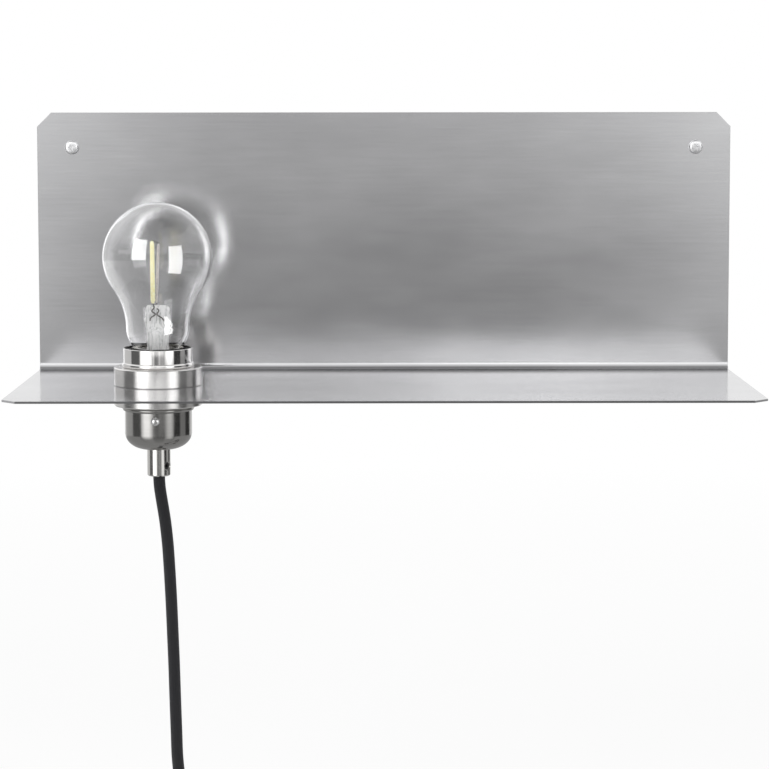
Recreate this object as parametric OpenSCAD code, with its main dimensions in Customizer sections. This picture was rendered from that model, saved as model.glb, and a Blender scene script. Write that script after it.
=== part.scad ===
// Wall lamp with shelf. The origin lies on the wall, midway between the two wall screws.
// +X is right, +Y goes into the wall, +Z is up.

/* [Sheet] */
// Width of the sheet
sheet_w = 400; // [300:1:600]
// Height of the sheet from the shelf's underside to the plate's top edge
sheet_h = 150; // [120:1:220]
// Depth of the shelf from the wall to its front edge
sheet_d = 150; // [130:1:220]
// Thickness of the sheet
sheet_t = 1.2; // [0.8:0.1:2]
// Inner radius of the bend
bend_r = 4; // [2:0.5:6]
// Length of the cut across each free corner, along an edge
corner_cut = 8; // [3:0.5:15]

/* [Wall screws] */
// Distance of a screw from the side edge and from the top edge
screw_inset = 20; // [12:1:40]
// Thread diameter
screw_d = 4; // [3.5:0.1:5]
// Diameter of the smooth neck between head and thread
screw_neck_d = 2.9; // [2.4:0.1:3.1]
// Free length of thread behind the plate
screw_free_l = 28; // [20:1:50]
// Head diameter
screw_head_d = 8; // [7:0.1:10]
// Head height
screw_head_h = 2.4; // [1.8:0.1:3]
// Play of the screw in its hole, on the radius
screw_play = 0.3; // [0.2:0.05:0.5]

/* [Lamp place] */
// Distance of the lamp's axis from the left edge
lamp_from_edge = 75.5; // [60:1:150]
// Distance of the lamp's axis from the wall
lamp_from_wall = 75; // [60:1:100]

/* [Clamping rings] */
// Outer diameter of a ring
ring_d = 48.5; // [44:0.5:60]
// Height of a ring
ring_h = 10; // [6:0.5:14]
// Chamfer on a ring's edges
ring_chamfer = 0.5; // [0.2:0.1:1]

/* [Lampholder] */
// Diameter of the threaded barrel
barrel_d = 34.6; // [34.6:0.1:36]
// Wall of the barrel and of the cap
metal_t = 1; // [0.8:0.1:1.2]
// Outer diameter of the collar over the upper ring
collar_d = 38; // [38:0.1:42]
// Height of the collar over the upper ring
collar_h = 10.4; // [9:0.1:14]
// How far the beads stand out of the collar
bead_out = 0.75; // [0.4:0.05:1]
// Height of a bead
bead_h = 2.6; // [2:0.1:3]
// Length of barrel below the lower ring
barrel_tail = 10.8; // [9:0.1:14]
// Outer diameter of the cap's straight part
cap_d = 36.8; // [36.8:0.1:40]
// Height of the cap from its rim to its bottom
cap_h = 24; // [22:0.1:30]
// Height of the cap's rounded bottom
cap_round_h = 9; // [7:0.5:11]
// Width of the cap's rounded bottom
cap_round_w = 11.5; // [8:0.5:11.5]
// Running clearance between threads, on the radius
thread_play = 0.05; // [0.02:0.01:0.1]

/* [Cord grip] */
// Diameter of the grip
grip_d = 13; // [12:0.1:16]
// Length of the grip
grip_l = 15; // [13:0.1:22]
// Diameter of the threaded nipple
nipple_d = 10; // [10:0.1:10.5]
// Length of nipple inside the grip
nipple_in_grip = 6.9; // [6:0.1:8]
// Diameter of the set screw
set_screw_d = 4; // [3:0.1:4]
// Direction of the set screw, from the front towards the right
set_screw_turn = 55; // [-90:1:90]

/* [Insert] */
// Height of the porcelain block
block_h = 15; // [13:0.5:16]
// Diameter of the contact sleeve's bore
sleeve_bore_d = 26.6; // [26.6:0.1:27]
// Wall of the contact sleeve and of the contact strips
strip_t = 0.4; // [0.3:0.1:0.6]
// Height of the contact sleeve
sleeve_h = 23.5; // [20:0.5:24]

/* [Bulb] */
// Diameter of the glass globe
globe_d = 60; // [55:1:70]
// Length of the bulb from its contact to its top
bulb_l = 106; // [100:1:115]
// Largest diameter of the neck
neck_d = 34.8; // [30:0.1:38]
// Diameter of the glass where it enters the cap
neck_end_d = 26; // [25.4:0.1:26]
// Height of the neck's widest place over the cap's rim
neck_rise = 10.4; // [9:0.1:12]
// Thickness of the glass
glass_t = 0.8; // [0.6:0.1:1.2]
// Diameter of the bulb's screw cap
bulb_cap_d = 26.2; // [26:0.05:26.4]
// Height of the bulb's screw cap above its contact
bulb_cap_h = 26.3; // [25:0.1:27]
// Height of the glass stem's top over the cap's rim
stem_h = 23.5; // [20:0.5:26]
// Length of a filament
filament_l = 34; // [28:1:38]
// Diameter of a filament
filament_d = 2.5; // [1.5:0.1:3]

/* [Cord] */
// Diameter of the textile cord
cord_d = 6.5; // [6:0.1:6.6]
// Diameter of one insulated core
core_d = 2; // [1.6:0.1:2.2]
// Step from one turn of the coil to the next
coil_step = 7; // [7:0.1:8]
// Radius at the middle of the coil's turns
coil_mid_r = 36; // [34:0.5:38]
// Width of the tie round the coil
tie_w = 10; // [6:0.5:16]
// Thickness of the tie
tie_t = 0.8; // [0.6:0.1:1.2]

/* [Cord switch] */
// Length of the switch housing
switch_l = 60; // [58:1:80]
// Width of the switch housing
switch_w = 26; // [26:0.5:32]
// Height of the switch housing
switch_h = 18.5; // [18.5:0.1:20]
// Wall of the switch housing
switch_wall = 1.6; // [1.4:0.1:2]
// Length of the rocker
rocker_l = 20; // [17:0.5:20]
// Width of the rocker
rocker_w = 12.6; // [10:0.1:12.6]
// Tilt of the rocker to each side
rocker_tilt = 10; // [8:1:10]
// Length of a tapered sleeve outside the housing
relief_l = 24; // [20:1:30]

/* [Plug] */
// Diameter of the plug's face
plug_d = 36.5; // [36:0.1:36.5]
// Length of the plug's body
plug_l = 52; // [48:1:56]
// Diameter of a plug pin
pin_d = 4.8; // [4.7:0.05:4.8]
// Free length of a plug pin
pin_l = 19; // [18:0.5:19]
// Distance between the plug pins
pin_spacing = 19; // [18.5:0.1:19.2]
// Length of the plug's tapered relief
plug_relief_l = 30; // [25:1:30]

/* [Hidden] */
$fn = 96;
eps = 0.01;
far = 500;

// Sheet: heights over the screws' line
plate_top = screw_inset;
shelf_z = plate_top - sheet_h + sheet_t;
screw_x = sheet_w / 2 - screw_inset;
hole_d = screw_d + 2 * screw_play;
bend_out_r = bend_r + sheet_t;

// Lamp: everything below is measured from the shelf's top face on the lamp's axis
lamp_x = lamp_from_edge - sheet_w / 2;
barrel_r = barrel_d / 2;
barrel_in_r = barrel_r - metal_t;
barrel_hole_r = barrel_r + 0.2;
collar_r = collar_d / 2;
collar_in_r = collar_r - 0.8;
bead_r = collar_r + bead_out;
rim_z = ring_h + collar_h;
low_ring_z = -sheet_t - ring_h;
barrel_low_z = low_ring_z - barrel_tail;
cap_r = cap_d / 2;
cap_in_r = cap_r - metal_t;
seat_play = 0.3;
bulb_seat = 0.1;
cap_top_z = low_ring_z - seat_play;
cap_low_z = cap_top_z - cap_h;
cap_floor_z = cap_low_z + metal_t;
lock_z = cap_top_z - 6.7;
lock_turn = 0;
lock_d = 2.9;
lock_head_d = 4.9;

grip_r = grip_d / 2;
grip_low_z = cap_low_z - grip_l;
nipple_r = nipple_d / 2;
nipple_bore_r = 3.4;
nipple_low_z = cap_low_z - nipple_in_grip;
cord_bore_r = cord_d / 2 + 0.1;
set_z = grip_low_z + 5.7;
nut_h = 3;
nut_width = 14;
tag_t = 0.6;
tag_r = 7.5;
tag_z = cap_floor_z + 0.15;
tab_w = 5;
tab_h = 6.5;
tab_y = 8.4;
earth_screw_z = tag_z + tab_h - 2.2;
nipple_top_z = tag_z + tag_t + nut_h + 0.6;

// Insert
liner_step_z = ring_h + 1.2;
block_r = barrel_in_r - 0.1;
bulb_tip_z = rim_z + bulb_seat - bulb_cap_h;
block_top_z = bulb_tip_z - 1.2;
block_low_z = block_top_z - block_h;
block_foot_w = 2.7;
sleeve_r = sleeve_bore_d / 2;
flange_in_r = 9;
terminal_size = 7;
terminal_x = 8;
terminal_h = 7.5;
terminal_play = 0.2;
terminal_top_z = block_low_z + terminal_h;
wire_hole_x = terminal_x - 2.1;
clamp_x = terminal_x + 1.6;
clamp_d = 2.5;
strip_w = 5;
live_leg_x = 7;
neutral_leg_x = -10.4;
foot_low_z = cap_low_z + cap_round_h - 2.6;

// Bulb
globe_r = globe_d / 2;
globe_z = bulb_tip_z + bulb_l - globe_r;
neck_r = neck_d / 2;
neck_end_r = neck_end_d / 2;
bulb_cap_r = bulb_cap_d / 2;
bulb_cap_t = 0.3;
bulb_rim_z = bulb_tip_z + bulb_cap_h;
neck_z = bulb_rim_z + neck_rise;
tip_h = 1.1;
insulator_z = bulb_tip_z + tip_h;
insulator_h = 4.1;
cap_base_z = insulator_z + insulator_h + 0.1;
stem_low_z = bulb_rim_z - 8.6;
press_z = bulb_rim_z + stem_h;
filament_low_z = press_z + 1;
filament_high_z = filament_low_z + filament_l;
front_foot = [-2.0, -1.6, filament_low_z];
front_head = [-2.9, -1.6, filament_high_z];
rear_foot = [-0.4, 2.4, filament_low_z];
rear_head = [0.9, 2.4, filament_high_z - 1.5];

// The cores start where the cord's sheath ends in the grip
cord_in_grip = 7.6;
core_low_z = grip_low_z + cord_in_grip;

// Cord: points in millimetres from the origin. The hanging part follows the grip, the rest lies
// as chosen
cord_r = cord_d / 2;
cord_sides = 10;
floor_cord_z = -400;
drop_foot = [-124.5, -75, -179.3];
drop_laid = [[-124.5, -75, -171.7], [-124.5, -75, -175.7], [-124.5, -75, -179.2],
    [-124.4, -75, -182.5], [-124.1, -75, -186.3], [-123.3, -75, -192], [-122.2, -75, -199],
    [-121.2, -75, -206], [-120, -75, -218], [-119.2, -75, -231], [-118.3, -75, -250],
    [-117.7, -75, -267], [-117.1, -75, -285], [-116.6, -75, -305], [-116.1, -75, -323],
    [-115.5, -75, -340],
    [-113.5, -75, -355], [-109, -74.3, -369], [-101.5, -72.5, -381], [-91, -69.5, -390],
    [-79, -65.5, -396], [-66, -60.5, -399.2], [-54, -55.8, -400], [-46, -52.9, -399.6],
    [-38, -50.7, -398], [-31, -49.4, -395.7], [-25, -49, -394.3], [-22, -49, -394],
    [-19, -49, -394], [-4, -49, -394], [13, -49, -394]];
drop_points = [for (p = drop_laid) p + hang(p[2])
    * ([lamp_x, -lamp_from_wall, shelf_z + grip_low_z] - drop_foot)];
link_points = [[57, -49, -394], [73, -49, -394], [89, -49, -394], [91, -49, -394],
    [97, -49, -394.6], [106, -49, -397], [114, -49, -399.2], [121, -49, -400],
    [127, -49, -400], [133.5, -49, -400]];
tail_points = [[133.5, -131.5, -379], [127, -131.5, -379], [121, -131.5, -379],
    [108, -131.4, -379.8], [94, -131, -381.8], [80, -130.2, -384.6], [66, -129.3, -386.8],
    [52, -128.5, -387.2], [40, -128.1, -386], [31, -128, -385.1], [26, -128, -385],
    [22, -128, -385], [5, -128, -385], [-12, -128, -385]];

// Coil: four layers that spiral in, out, in and out again
coil_centre = [140, -92];
coil_turns_in_layer = 2;
coil_turns = 7.5;
coil_rings = 24;
coil_sides = 6;
coil_out_r = coil_mid_r + coil_step * coil_turns_in_layer / 2;
coil_path = coil_route();
coil_gap = min([for (i = [0:len(coil_path) - 1 - coil_rings / 2])
    for (j = [i + coil_rings / 2:len(coil_path) - 1]) norm(coil_path[j] - coil_path[i])]) - cord_d;

// Switch on the cord
switch_centre = [35, -49, -394];
switch_corner_r = 7;
switch_edge_r = 3;
switch_screw_at = [19, 7.6];
switch_screw_d = 2.6;
pivot_z = 4.2;
pivot_d = 2.4;
ear_gap = 0.5;
ear_t = 1.5;
opening_l = rocker_l + 2.6;
opening_w = rocker_w + 0.8;
rocker_top = 6.6;
rocker_low = 2.2;
seesaw_l = 12;
seesaw_w = 3;
seesaw_t = 0.6;
neck_play = 0.05;
sleeve_neck_r = 4.2;

// Plug
plug_face = [-60, -128, -385];
plug_r = plug_d / 2;
pin_r = pin_d / 2;
plug_rim_l = 13;
plug_grip_r = 11.2;
clip_w = 6;
clip_t = 1;

echo(str("Least gap of the coil to itself: ", coil_gap, " mm"));

// Points on a circle of radius r round c, from angle a to angle b
function arc(c, r, a, b, n = 12) =
    [for (i = [0:n]) c + r * [cos(a + (b - a) * i / n), sin(a + (b - a) * i / n)]];

// Points on an ellipse
function oval(c, rx, rz, a, b, n = 16) =
    [for (i = [0:n]) c + [rx * cos(a + (b - a) * i / n), rz * sin(a + (b - a) * i / n)]];

function unit(v) = v / norm(v);

function along(p, i) = i == 0 ? unit(p[1] - p[0])
    : i == len(p) - 1 ? unit(p[i] - p[i - 1])
    : unit(unit(p[i + 1] - p[i]) + unit(p[i] - p[i - 1]));

// A smooth curve through p, with n steps to each span
function smooth(p, n) = concat([for (i = [0:len(p) - 2])
    let (a = p[max(i - 1, 0)], b = p[i], c = p[i + 1], d = p[min(i + 2, len(p) - 1)],
        l = norm(c - b),
        m0 = i == 0 ? c - b : (c - a) * l / (norm(b - a) + l),
        m1 = i == len(p) - 2 ? c - b : (d - b) * l / (norm(d - c) + l))
    for (k = [0:n - 1]) let (t = k / n)
        (2 * t * t * t - 3 * t * t + 1) * b + (t * t * t - 2 * t * t + t) * m0
        + (3 * t * t - 2 * t * t * t) * c + (t * t * t - t * t) * m1], [p[len(p) - 1]]);

// How far a point at height z follows the grip: fully at the grip, not at all on the floor
function hang(z) = let (t = min(1, max(0, (z - floor_cord_z) / (drop_foot[2] - floor_cord_z))))
    t * t * (3 - 2 * t);

// Distance walked out and in again between 0 and span, at a steady rate
function to_and_fro(x, span) = let (r = x % (2 * span)) r < span ? r : 2 * span - r;

// The layer climbs in the half turn where the spiral reverses
function climb(turn) = let (k = floor((turn + 0.25) / coil_turns_in_layer),
    past = turn + 0.25 - k * coil_turns_in_layer)
    k < 1 ? 0 : k - 1 + (past < 0.5 ? (1 - cos(360 * past)) / 2 : 1);

function coil_point(turn) = let (
    r = coil_out_r - coil_step * to_and_fro(turn, coil_turns_in_layer),
    a = 90 - 360 * turn)
    [coil_centre[0] + r * cos(a), coil_centre[1] + r * sin(a),
        floor_cord_z + coil_step * climb(turn)];

function coil_route() = let (
    body = [for (i = [0:coil_turns * coil_rings]) coil_point(i / coil_rings)],
    last = body[len(body) - 1])
    concat([body[0] - [cord_d, 0, 0]], body, [last - [cord_d, 0, 0]]);

// A tube of triangles swept along path; side is a direction that path never follows
module tube(path, r, sides, side = [0, 0, 1]) {
    n = len(path);
    points = [for (i = [0:n - 1])
        let (t = along(path, i), u = unit(cross(side, t)), v = cross(t, u))
        for (k = [0:sides - 1])
            path[i] + r * (cos(360 * k / sides) * u + sin(360 * k / sides) * v)];
    walls = [for (i = [0:n - 2]) for (k = [0:sides - 1])
        let (a = i * sides + k, b = i * sides + (k + 1) % sides)
        for (f = [[a, a + sides, b + sides], [a, b + sides, b]]) f];
    ends = [for (k = [1:sides - 2]) let (e = (n - 1) * sides)
        for (f = [[0, k, k + 1], [e, e + k + 1, e + k]]) f];
    polyhedron(points, concat(walls, ends));
}

// A round bar from a to b
module rod(a, b, r) {
    d = b - a;
    translate(a)
        rotate([0, acos(d[2] / norm(d)), atan2(d[1], d[0])])
            cylinder(h = norm(d), r = r, $fn = 24);
}

module at_lamp() {
    translate([lamp_x, -lamp_from_wall, shelf_z]) children();
}

module at_switch() {
    translate(switch_centre) children();
}

// Local Z becomes the plug's axis, from its face towards the cord
module at_plug() {
    translate(plug_face) rotate([0, 90, 0]) children();
}

// Cuts the corner of a sheet at the local origin, square to Z
module corner_knife() {
    rotate(45) cube([corner_cut * sqrt(2), corner_cut * sqrt(2), far], center = true);
}

module shelf_plate() {
    profile = concat([[0, plate_top], [0, shelf_z - sheet_t + bend_out_r]],
        arc([-bend_out_r, shelf_z - sheet_t + bend_out_r], bend_out_r, 0, -90),
        [[-sheet_d, shelf_z - sheet_t], [-sheet_d, shelf_z]],
        arc([-bend_out_r, shelf_z + bend_r], bend_r, -90, 0),
        [[-sheet_t, plate_top]]);
    color([0.72, 0.72, 0.73]) difference() {
        rotate([90, 0, 90]) linear_extrude(height = sheet_w, center = true) polygon(profile);
        for (x = [-sheet_w / 2, sheet_w / 2]) {
            translate([x, 0, plate_top]) rotate([90, 0, 0]) corner_knife();
            translate([x, -sheet_d, shelf_z]) corner_knife();
        }
        for (x = [-screw_x, screw_x])
            translate([x, eps, 0]) rotate([90, 0, 0]) cylinder(h = sheet_t + 2 * eps, d = hole_d);
        at_lamp() translate([0, 0, -sheet_t - eps])
            cylinder(h = sheet_t + 2 * eps, r = barrel_hole_r);
    }
}

// Pan head with a six-lobed recess, a neck through the plate and a thread into the wall
module wall_screw(x) {
    head_r = screw_head_d / 2;
    tip_l = 4;
    lobe_r = 1.35;
    profile = concat([[0, -sheet_t - screw_free_l - tip_l], [screw_d / 2, -sheet_t - screw_free_l],
        [screw_d / 2, -sheet_t], [screw_neck_d / 2, -sheet_t], [screw_neck_d / 2, 0], [head_r, 0]],
        oval([head_r * 0.4, screw_head_h * 0.35], head_r * 0.6, screw_head_h * 0.65, 0, 90, 8),
        [[0, screw_head_h]]);
    translate([x, -sheet_t, 0]) rotate([90, 0, 0]) difference() {
        rotate_extrude() polygon(profile);
        translate([0, 0, screw_head_h - 1.5]) linear_extrude(height = 2) {
            circle(r = lobe_r, $fn = 24);
            for (a = [0:60:300]) rotate(a) translate([lobe_r, 0]) circle(r = 0.42, $fn = 16);
        }
    }
}

module wall_screw_left() {
    color([0.75, 0.75, 0.76]) wall_screw(-screw_x);
}

module wall_screw_right() {
    color([0.75, 0.75, 0.76]) wall_screw(screw_x);
}

module shade_ring(z) {
    r = ring_d / 2;
    bore_r = barrel_r + thread_play;
    c = ring_chamfer;
    at_lamp() translate([0, 0, z]) rotate_extrude()
        polygon([[bore_r + c, 0], [r - c, 0], [r, c], [r, ring_h - c], [r - c, ring_h],
            [bore_r + c, ring_h], [bore_r, ring_h - c], [bore_r, c]]);
}

module shade_ring_upper() {
    color([0.78, 0.78, 0.77]) shade_ring(0);
}

module shade_ring_lower() {
    color([0.78, 0.78, 0.77]) shade_ring(low_ring_z);
}

// Points of a half-round bead that stands out of radius r, from height low upwards
function bead(r, low) = oval([r, low + bead_h / 2], bead_out, bead_h / 2, -90, 90, 10);

module holder_shell() {
    lip = (collar_r - collar_in_r) / 2;
    profile = concat([[barrel_r, barrel_low_z], [barrel_r, ring_h], [collar_r, ring_h]],
        bead(collar_r, ring_h), arc([collar_r - lip, rim_z - lip], lip, 0, 180, 8),
        [[collar_in_r, liner_step_z], [barrel_in_r, liner_step_z], [barrel_in_r, barrel_low_z]]);
    color([0.78, 0.78, 0.77]) at_lamp() difference() {
        rotate_extrude() polygon(profile);
        lock_axis() cylinder(h = far, d = lock_d + 0.1, $fn = 32);
    }
}

// Local Z becomes the lock screw's axis, outward from the lamp's axis
module lock_axis() {
    translate([0, 0, lock_z]) rotate([90, 0, lock_turn]) children();
}

module holder_cap() {
    straight_z = cap_low_z + cap_round_h;
    in_w = cap_round_w - metal_t;
    in_h = cap_round_h - metal_t;
    hole_r = nipple_r + 0.1;
    profile = concat([[cap_in_r, cap_top_z], [cap_r, cap_top_z]],
        oval([cap_r, cap_top_z - bead_h / 2], bead_r - cap_r, bead_h / 2, 90, -90, 12),
        oval([cap_r - cap_round_w, straight_z], cap_round_w, cap_round_h, 0, -90),
        [[hole_r, cap_low_z], [hole_r, cap_floor_z]],
        oval([cap_in_r - in_w, straight_z], in_w, in_h, -90, 0));
    color([0.55, 0.55, 0.54]) at_lamp() difference() {
        rotate_extrude() polygon(profile);
        lock_axis() cylinder(h = far, d = lock_d + 0.2, $fn = 32);
    }
}

module cap_lock_screw() {
    head_r = lock_head_d / 2;
    head_h = 1.6;
    seat = cap_r + 0.1;
    tip = block_r + 0.1;
    color([0.85, 0.85, 0.84]) at_lamp() lock_axis() difference() {
        rotate_extrude($fn = 48) polygon(concat([[0, tip], [lock_d / 2, tip], [lock_d / 2, seat]],
            oval([0, seat], head_r, head_h, 0, 90, 8)));
        translate([-head_r, -0.35, seat + head_h - 0.8]) cube([2 * head_r, 0.7, 2]);
    }
}

module cord_grip() {
    c = 0.7;
    play_r = nipple_r + thread_play;
    profile = [[cord_bore_r, grip_low_z], [grip_r - c, grip_low_z], [grip_r, grip_low_z + c],
        [grip_r, cap_low_z], [play_r, cap_low_z], [play_r, nipple_low_z - 0.1],
        [cord_bore_r, nipple_low_z - 0.1]];
    color([0.78, 0.78, 0.77]) at_lamp() difference() {
        rotate_extrude() polygon(profile);
        set_axis() {
            cylinder(h = far, d = set_screw_d + 0.1, $fn = 32);
            translate([0, 0, grip_r - 0.9]) cylinder(h = far, d = set_screw_d + 1.4, $fn = 32);
        }
    }
}

// Local Z becomes the set screw's axis, outward from the lamp's axis
module set_axis() {
    translate([0, 0, set_z]) rotate([90, 0, set_screw_turn]) children();
}

module grip_set_screw() {
    start = cord_bore_r + 0.1;
    length = grip_r - 1 - start;
    color([0.06, 0.06, 0.06]) at_lamp() set_axis() difference() {
        translate([0, 0, start]) cylinder(h = length, d = set_screw_d, $fn = 32);
        translate([0, 0, start + length - 1.2]) cylinder(h = 2, r = 1.1, $fn = 6);
    }
}

module threaded_nipple() {
    color([0.72, 0.6, 0.32]) at_lamp() translate([0, 0, nipple_low_z]) difference() {
        cylinder(h = nipple_top_z - nipple_low_z, r = nipple_r);
        translate([0, 0, -eps]) cylinder(h = far, r = nipple_bore_r);
    }
}

module nipple_nut() {
    color([0.75, 0.75, 0.74]) at_lamp() translate([0, 0, tag_z + tag_t]) difference() {
        cylinder(h = nut_h, d = nut_width / cos(30), $fn = 6);
        translate([0, 0, -eps]) cylinder(h = far, r = nipple_r + thread_play);
    }
}

// Insulating liner: a sleeve in the barrel under a wider collar ring
module holder_liner() {
    out_r = barrel_in_r - 0.1;
    in_r = sleeve_r + strip_t + 0.5;
    top_r = collar_in_r - 0.1;
    top_z = rim_z - 1;
    color([0.08, 0.08, 0.08]) at_lamp() rotate_extrude()
        polygon([[in_r, block_top_z], [out_r, block_top_z], [out_r, liner_step_z],
            [top_r, liner_step_z], [top_r, top_z], [top_r - 2.4, top_z], [in_r + 0.8, top_z - 4],
            [in_r, top_z - 5]]);
}

module contact_sleeve() {
    out_r = sleeve_r + strip_t;
    low = block_top_z;
    top = low + sleeve_h;
    color([0.8, 0.66, 0.34]) at_lamp() rotate_extrude()
        polygon([[flange_in_r, low], [out_r, low], [out_r, top], [sleeve_r, top],
            [sleeve_r, low + strip_t], [flange_in_r, low + strip_t]]);
}

// Porcelain block with two terminal pockets, slots for the strips, and three feet in the cap
module contact_block() {
    pocket = terminal_size + 2 * terminal_play;
    slot = strip_t + 0.3;
    color([0.93, 0.92, 0.88]) at_lamp() difference() {
        union() {
            translate([0, 0, block_low_z]) cylinder(h = block_h, r = block_r);
            intersection() {
                translate([0, 0, foot_low_z]) difference() {
                    cylinder(h = block_low_z - foot_low_z + 1, r = block_r - 0.5);
                    cylinder(h = far, r = block_r - block_foot_w);
                }
                for (a = [90, 210, 330]) rotate(a)
                    translate([0, -5, -far / 2]) cube([far, 10, far]);
            }
        }
        translate([0, 0, block_top_z - 3]) cylinder(h = far, r = 6);
        for (s = [-1, 1]) translate([s * terminal_x, 0, block_low_z + terminal_h / 2 - eps])
            cube([pocket, pocket, terminal_h + 2 * eps], center = true);
        for (x = [live_leg_x, neutral_leg_x])
            translate([x - 0.15, -strip_w / 2 - 0.15, block_low_z])
                cube([slot, strip_w + 0.3, far]);
        translate([0, 0, block_top_z - 0.9])
            translate([-3.5, -strip_w / 2 - 0.3, 0]) cube([live_leg_x + 4, strip_w + 0.6, far]);
        translate([0, block_r - 2.5, block_low_z - far / 2]) cylinder(h = far, r = 2, $fn = 32);
    }
}

// Leaf under the bulb's contact, with a leg down to the live terminal
module centre_contact() {
    top = bulb_tip_z - 0.25;
    color([0.8, 0.66, 0.34]) at_lamp() {
        translate([-3, -strip_w / 2, top - strip_t])
            cube([live_leg_x + strip_t + 3, strip_w, strip_t]);
        translate([live_leg_x, -strip_w / 2, terminal_top_z])
            cube([strip_t, strip_w, top - terminal_top_z]);
    }
}

// Leg from the contact sleeve down to the neutral terminal
module side_contact() {
    color([0.8, 0.66, 0.34]) at_lamp()
        translate([neutral_leg_x, -strip_w / 2, terminal_top_z])
            cube([strip_t, strip_w, block_top_z - terminal_top_z]);
}

module terminal(s) {
    color([0.82, 0.7, 0.4]) at_lamp() difference() {
        translate([s * terminal_x - terminal_size / 2, -terminal_size / 2, block_low_z + 0.1])
            cube([terminal_size, terminal_size, terminal_h - 0.1]);
        translate([s * wire_hole_x, 0, block_low_z - 1])
            cylinder(h = 6, r = core_d / 2 + 0.1, $fn = 32);
        translate([s * clamp_x, 0, block_low_z - 1]) cylinder(h = 7.2, d = clamp_d + 0.1, $fn = 32);
    }
}

module terminal_live() {
    terminal(1);
}

module terminal_neutral() {
    terminal(-1);
}

module terminal_screws() {
    head_r = 2.3;
    head_h = 1.5;
    color([0.7, 0.7, 0.68]) at_lamp() for (s = [-1, 1])
        translate([s * clamp_x, 0, block_low_z]) difference() {
            union() {
                translate([0, 0, -head_h / 2]) cylinder(h = 5.5 + head_h / 2, d = clamp_d, $fn = 32);
                translate([0, 0, -head_h]) cylinder(h = head_h, r = head_r, $fn = 48);
            }
            translate([-head_r, -0.3, -head_h - eps]) cube([2 * head_r, 0.6, 0.7]);
        }
}

// Washer under the nipple's nut, with an upright tab for the earth core
module earth_tag() {
    color([0.82, 0.7, 0.4]) at_lamp() translate([0, 0, tag_z]) difference() {
        union() {
            cylinder(h = tag_t, r = tag_r);
            translate([-tab_w / 2, 0, 0]) cube([tab_w, tab_y, tag_t]);
            translate([-tab_w / 2, tab_y - tag_t, 0]) cube([tab_w, tag_t, tab_h]);
        }
        translate([0, 0, -eps]) cylinder(h = far, r = nipple_r + 0.1);
        translate([0, tab_y + 1, earth_screw_z - tag_z]) rotate([90, 0, 0])
            cylinder(h = 4, r = 1.35, $fn = 32);
    }
}

module earth_screw() {
    head_h = 1.6;
    color([0.7, 0.7, 0.68]) at_lamp() translate([0, tab_y, earth_screw_z]) rotate([90, 0, 0]) {
        translate([0, 0, -head_h]) cylinder(h = head_h, r = 2.1, $fn = 48);
        translate([0, 0, -head_h / 2]) cylinder(h = head_h / 2 + 1.4, r = 1.25, $fn = 32);
    }
}

module core(points) {
    at_lamp() tube(smooth(points, 3), core_d / 2, 8, [0.3, 1, 0]);
}

// Route of a core from the cord's end in the grip, up the nipple and into a terminal's hole
function core_route(s) = [[s * 1.3, -0.75, core_low_z], [s * 1.3, -0.75, core_low_z + 4],
    [s * 1.3, -0.75, nipple_top_z - 3], [s * 1.6, -0.7, nipple_top_z],
    [s * 4.4, -0.3, nipple_top_z + 3.2], [s * wire_hole_x, 0, block_low_z - 1.6],
    [s * wire_hole_x, 0, block_low_z + 1], [s * wire_hole_x, 0, block_low_z + 4.5]];

module core_live() {
    color([0.35, 0.2, 0.1]) core(core_route(1));
}

module core_neutral() {
    color([0.15, 0.3, 0.6]) core(core_route(-1));
}

module core_earth() {
    color([0.45, 0.6, 0.2]) core([[0, 1.5, core_low_z], [0, 1.5, core_low_z + 4],
        [0, 1.5, nipple_top_z - 3], [0, 1.7, nipple_top_z], [0, 3.4, nipple_top_z + 1.8],
        [0, 5, nipple_top_z + 1.6], [0, 5.9, nipple_top_z + 0.9]]);
}

// Outline of the glass from its top down to the cap, shrunk inward by t
function bulb_outline(t) = let (
    out_r = pow(globe_z - neck_z, 2) + neck_r * neck_r - globe_r * globe_r,
    hollow_r = out_r / (2 * (globe_r - neck_r)),
    down = asin((globe_z - neck_z) / (globe_r + hollow_r)),
    low = neck_z - bulb_rim_z,
    narrow = neck_r - neck_end_r,
    round_r = (low * low + narrow * narrow) / (2 * narrow))
    concat(arc([0, globe_z], globe_r - t, 90, -down, 40),
        arc([neck_r + hollow_r, neck_z], hollow_r + t, 180 - down, 180, 14),
        arc([neck_r - round_r, neck_z], round_r - t, -3, -asin(low / round_r), 10));

module bulb_glass() {
    root_r = bulb_cap_r - bulb_cap_t - 0.3;
    outside = bulb_outline(0);
    inside = bulb_outline(glass_t);
    color([0.9, 0.95, 1, 0.3]) at_lamp() rotate_extrude()
        polygon(concat(outside, [[root_r, bulb_rim_z - 0.6], [root_r, stem_low_z],
            [root_r - glass_t, stem_low_z], [root_r - glass_t, bulb_rim_z - 0.4]],
            [for (i = [len(inside) - 1:-1:0]) inside[i]]));
}

module bulb_cap() {
    in_r = bulb_cap_r - bulb_cap_t;
    flare = 0.8;
    lip_r = 11.4;
    color([0.78, 0.76, 0.7]) at_lamp() rotate_extrude()
        polygon([[lip_r, cap_base_z], [bulb_cap_r - 0.5, cap_base_z], [bulb_cap_r, cap_base_z + 0.8],
            [bulb_cap_r, bulb_rim_z - 1.2], [bulb_cap_r + flare, bulb_rim_z - 0.9],
            [bulb_cap_r + flare, bulb_rim_z], [bulb_cap_r + flare - bulb_cap_t, bulb_rim_z],
            [bulb_cap_r + flare - bulb_cap_t, bulb_rim_z - 0.6], [in_r, bulb_rim_z - 0.9],
            [in_r, cap_base_z + 0.9], [in_r - 0.4, cap_base_z + bulb_cap_t],
            [lip_r, cap_base_z + bulb_cap_t]]);
}

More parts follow.
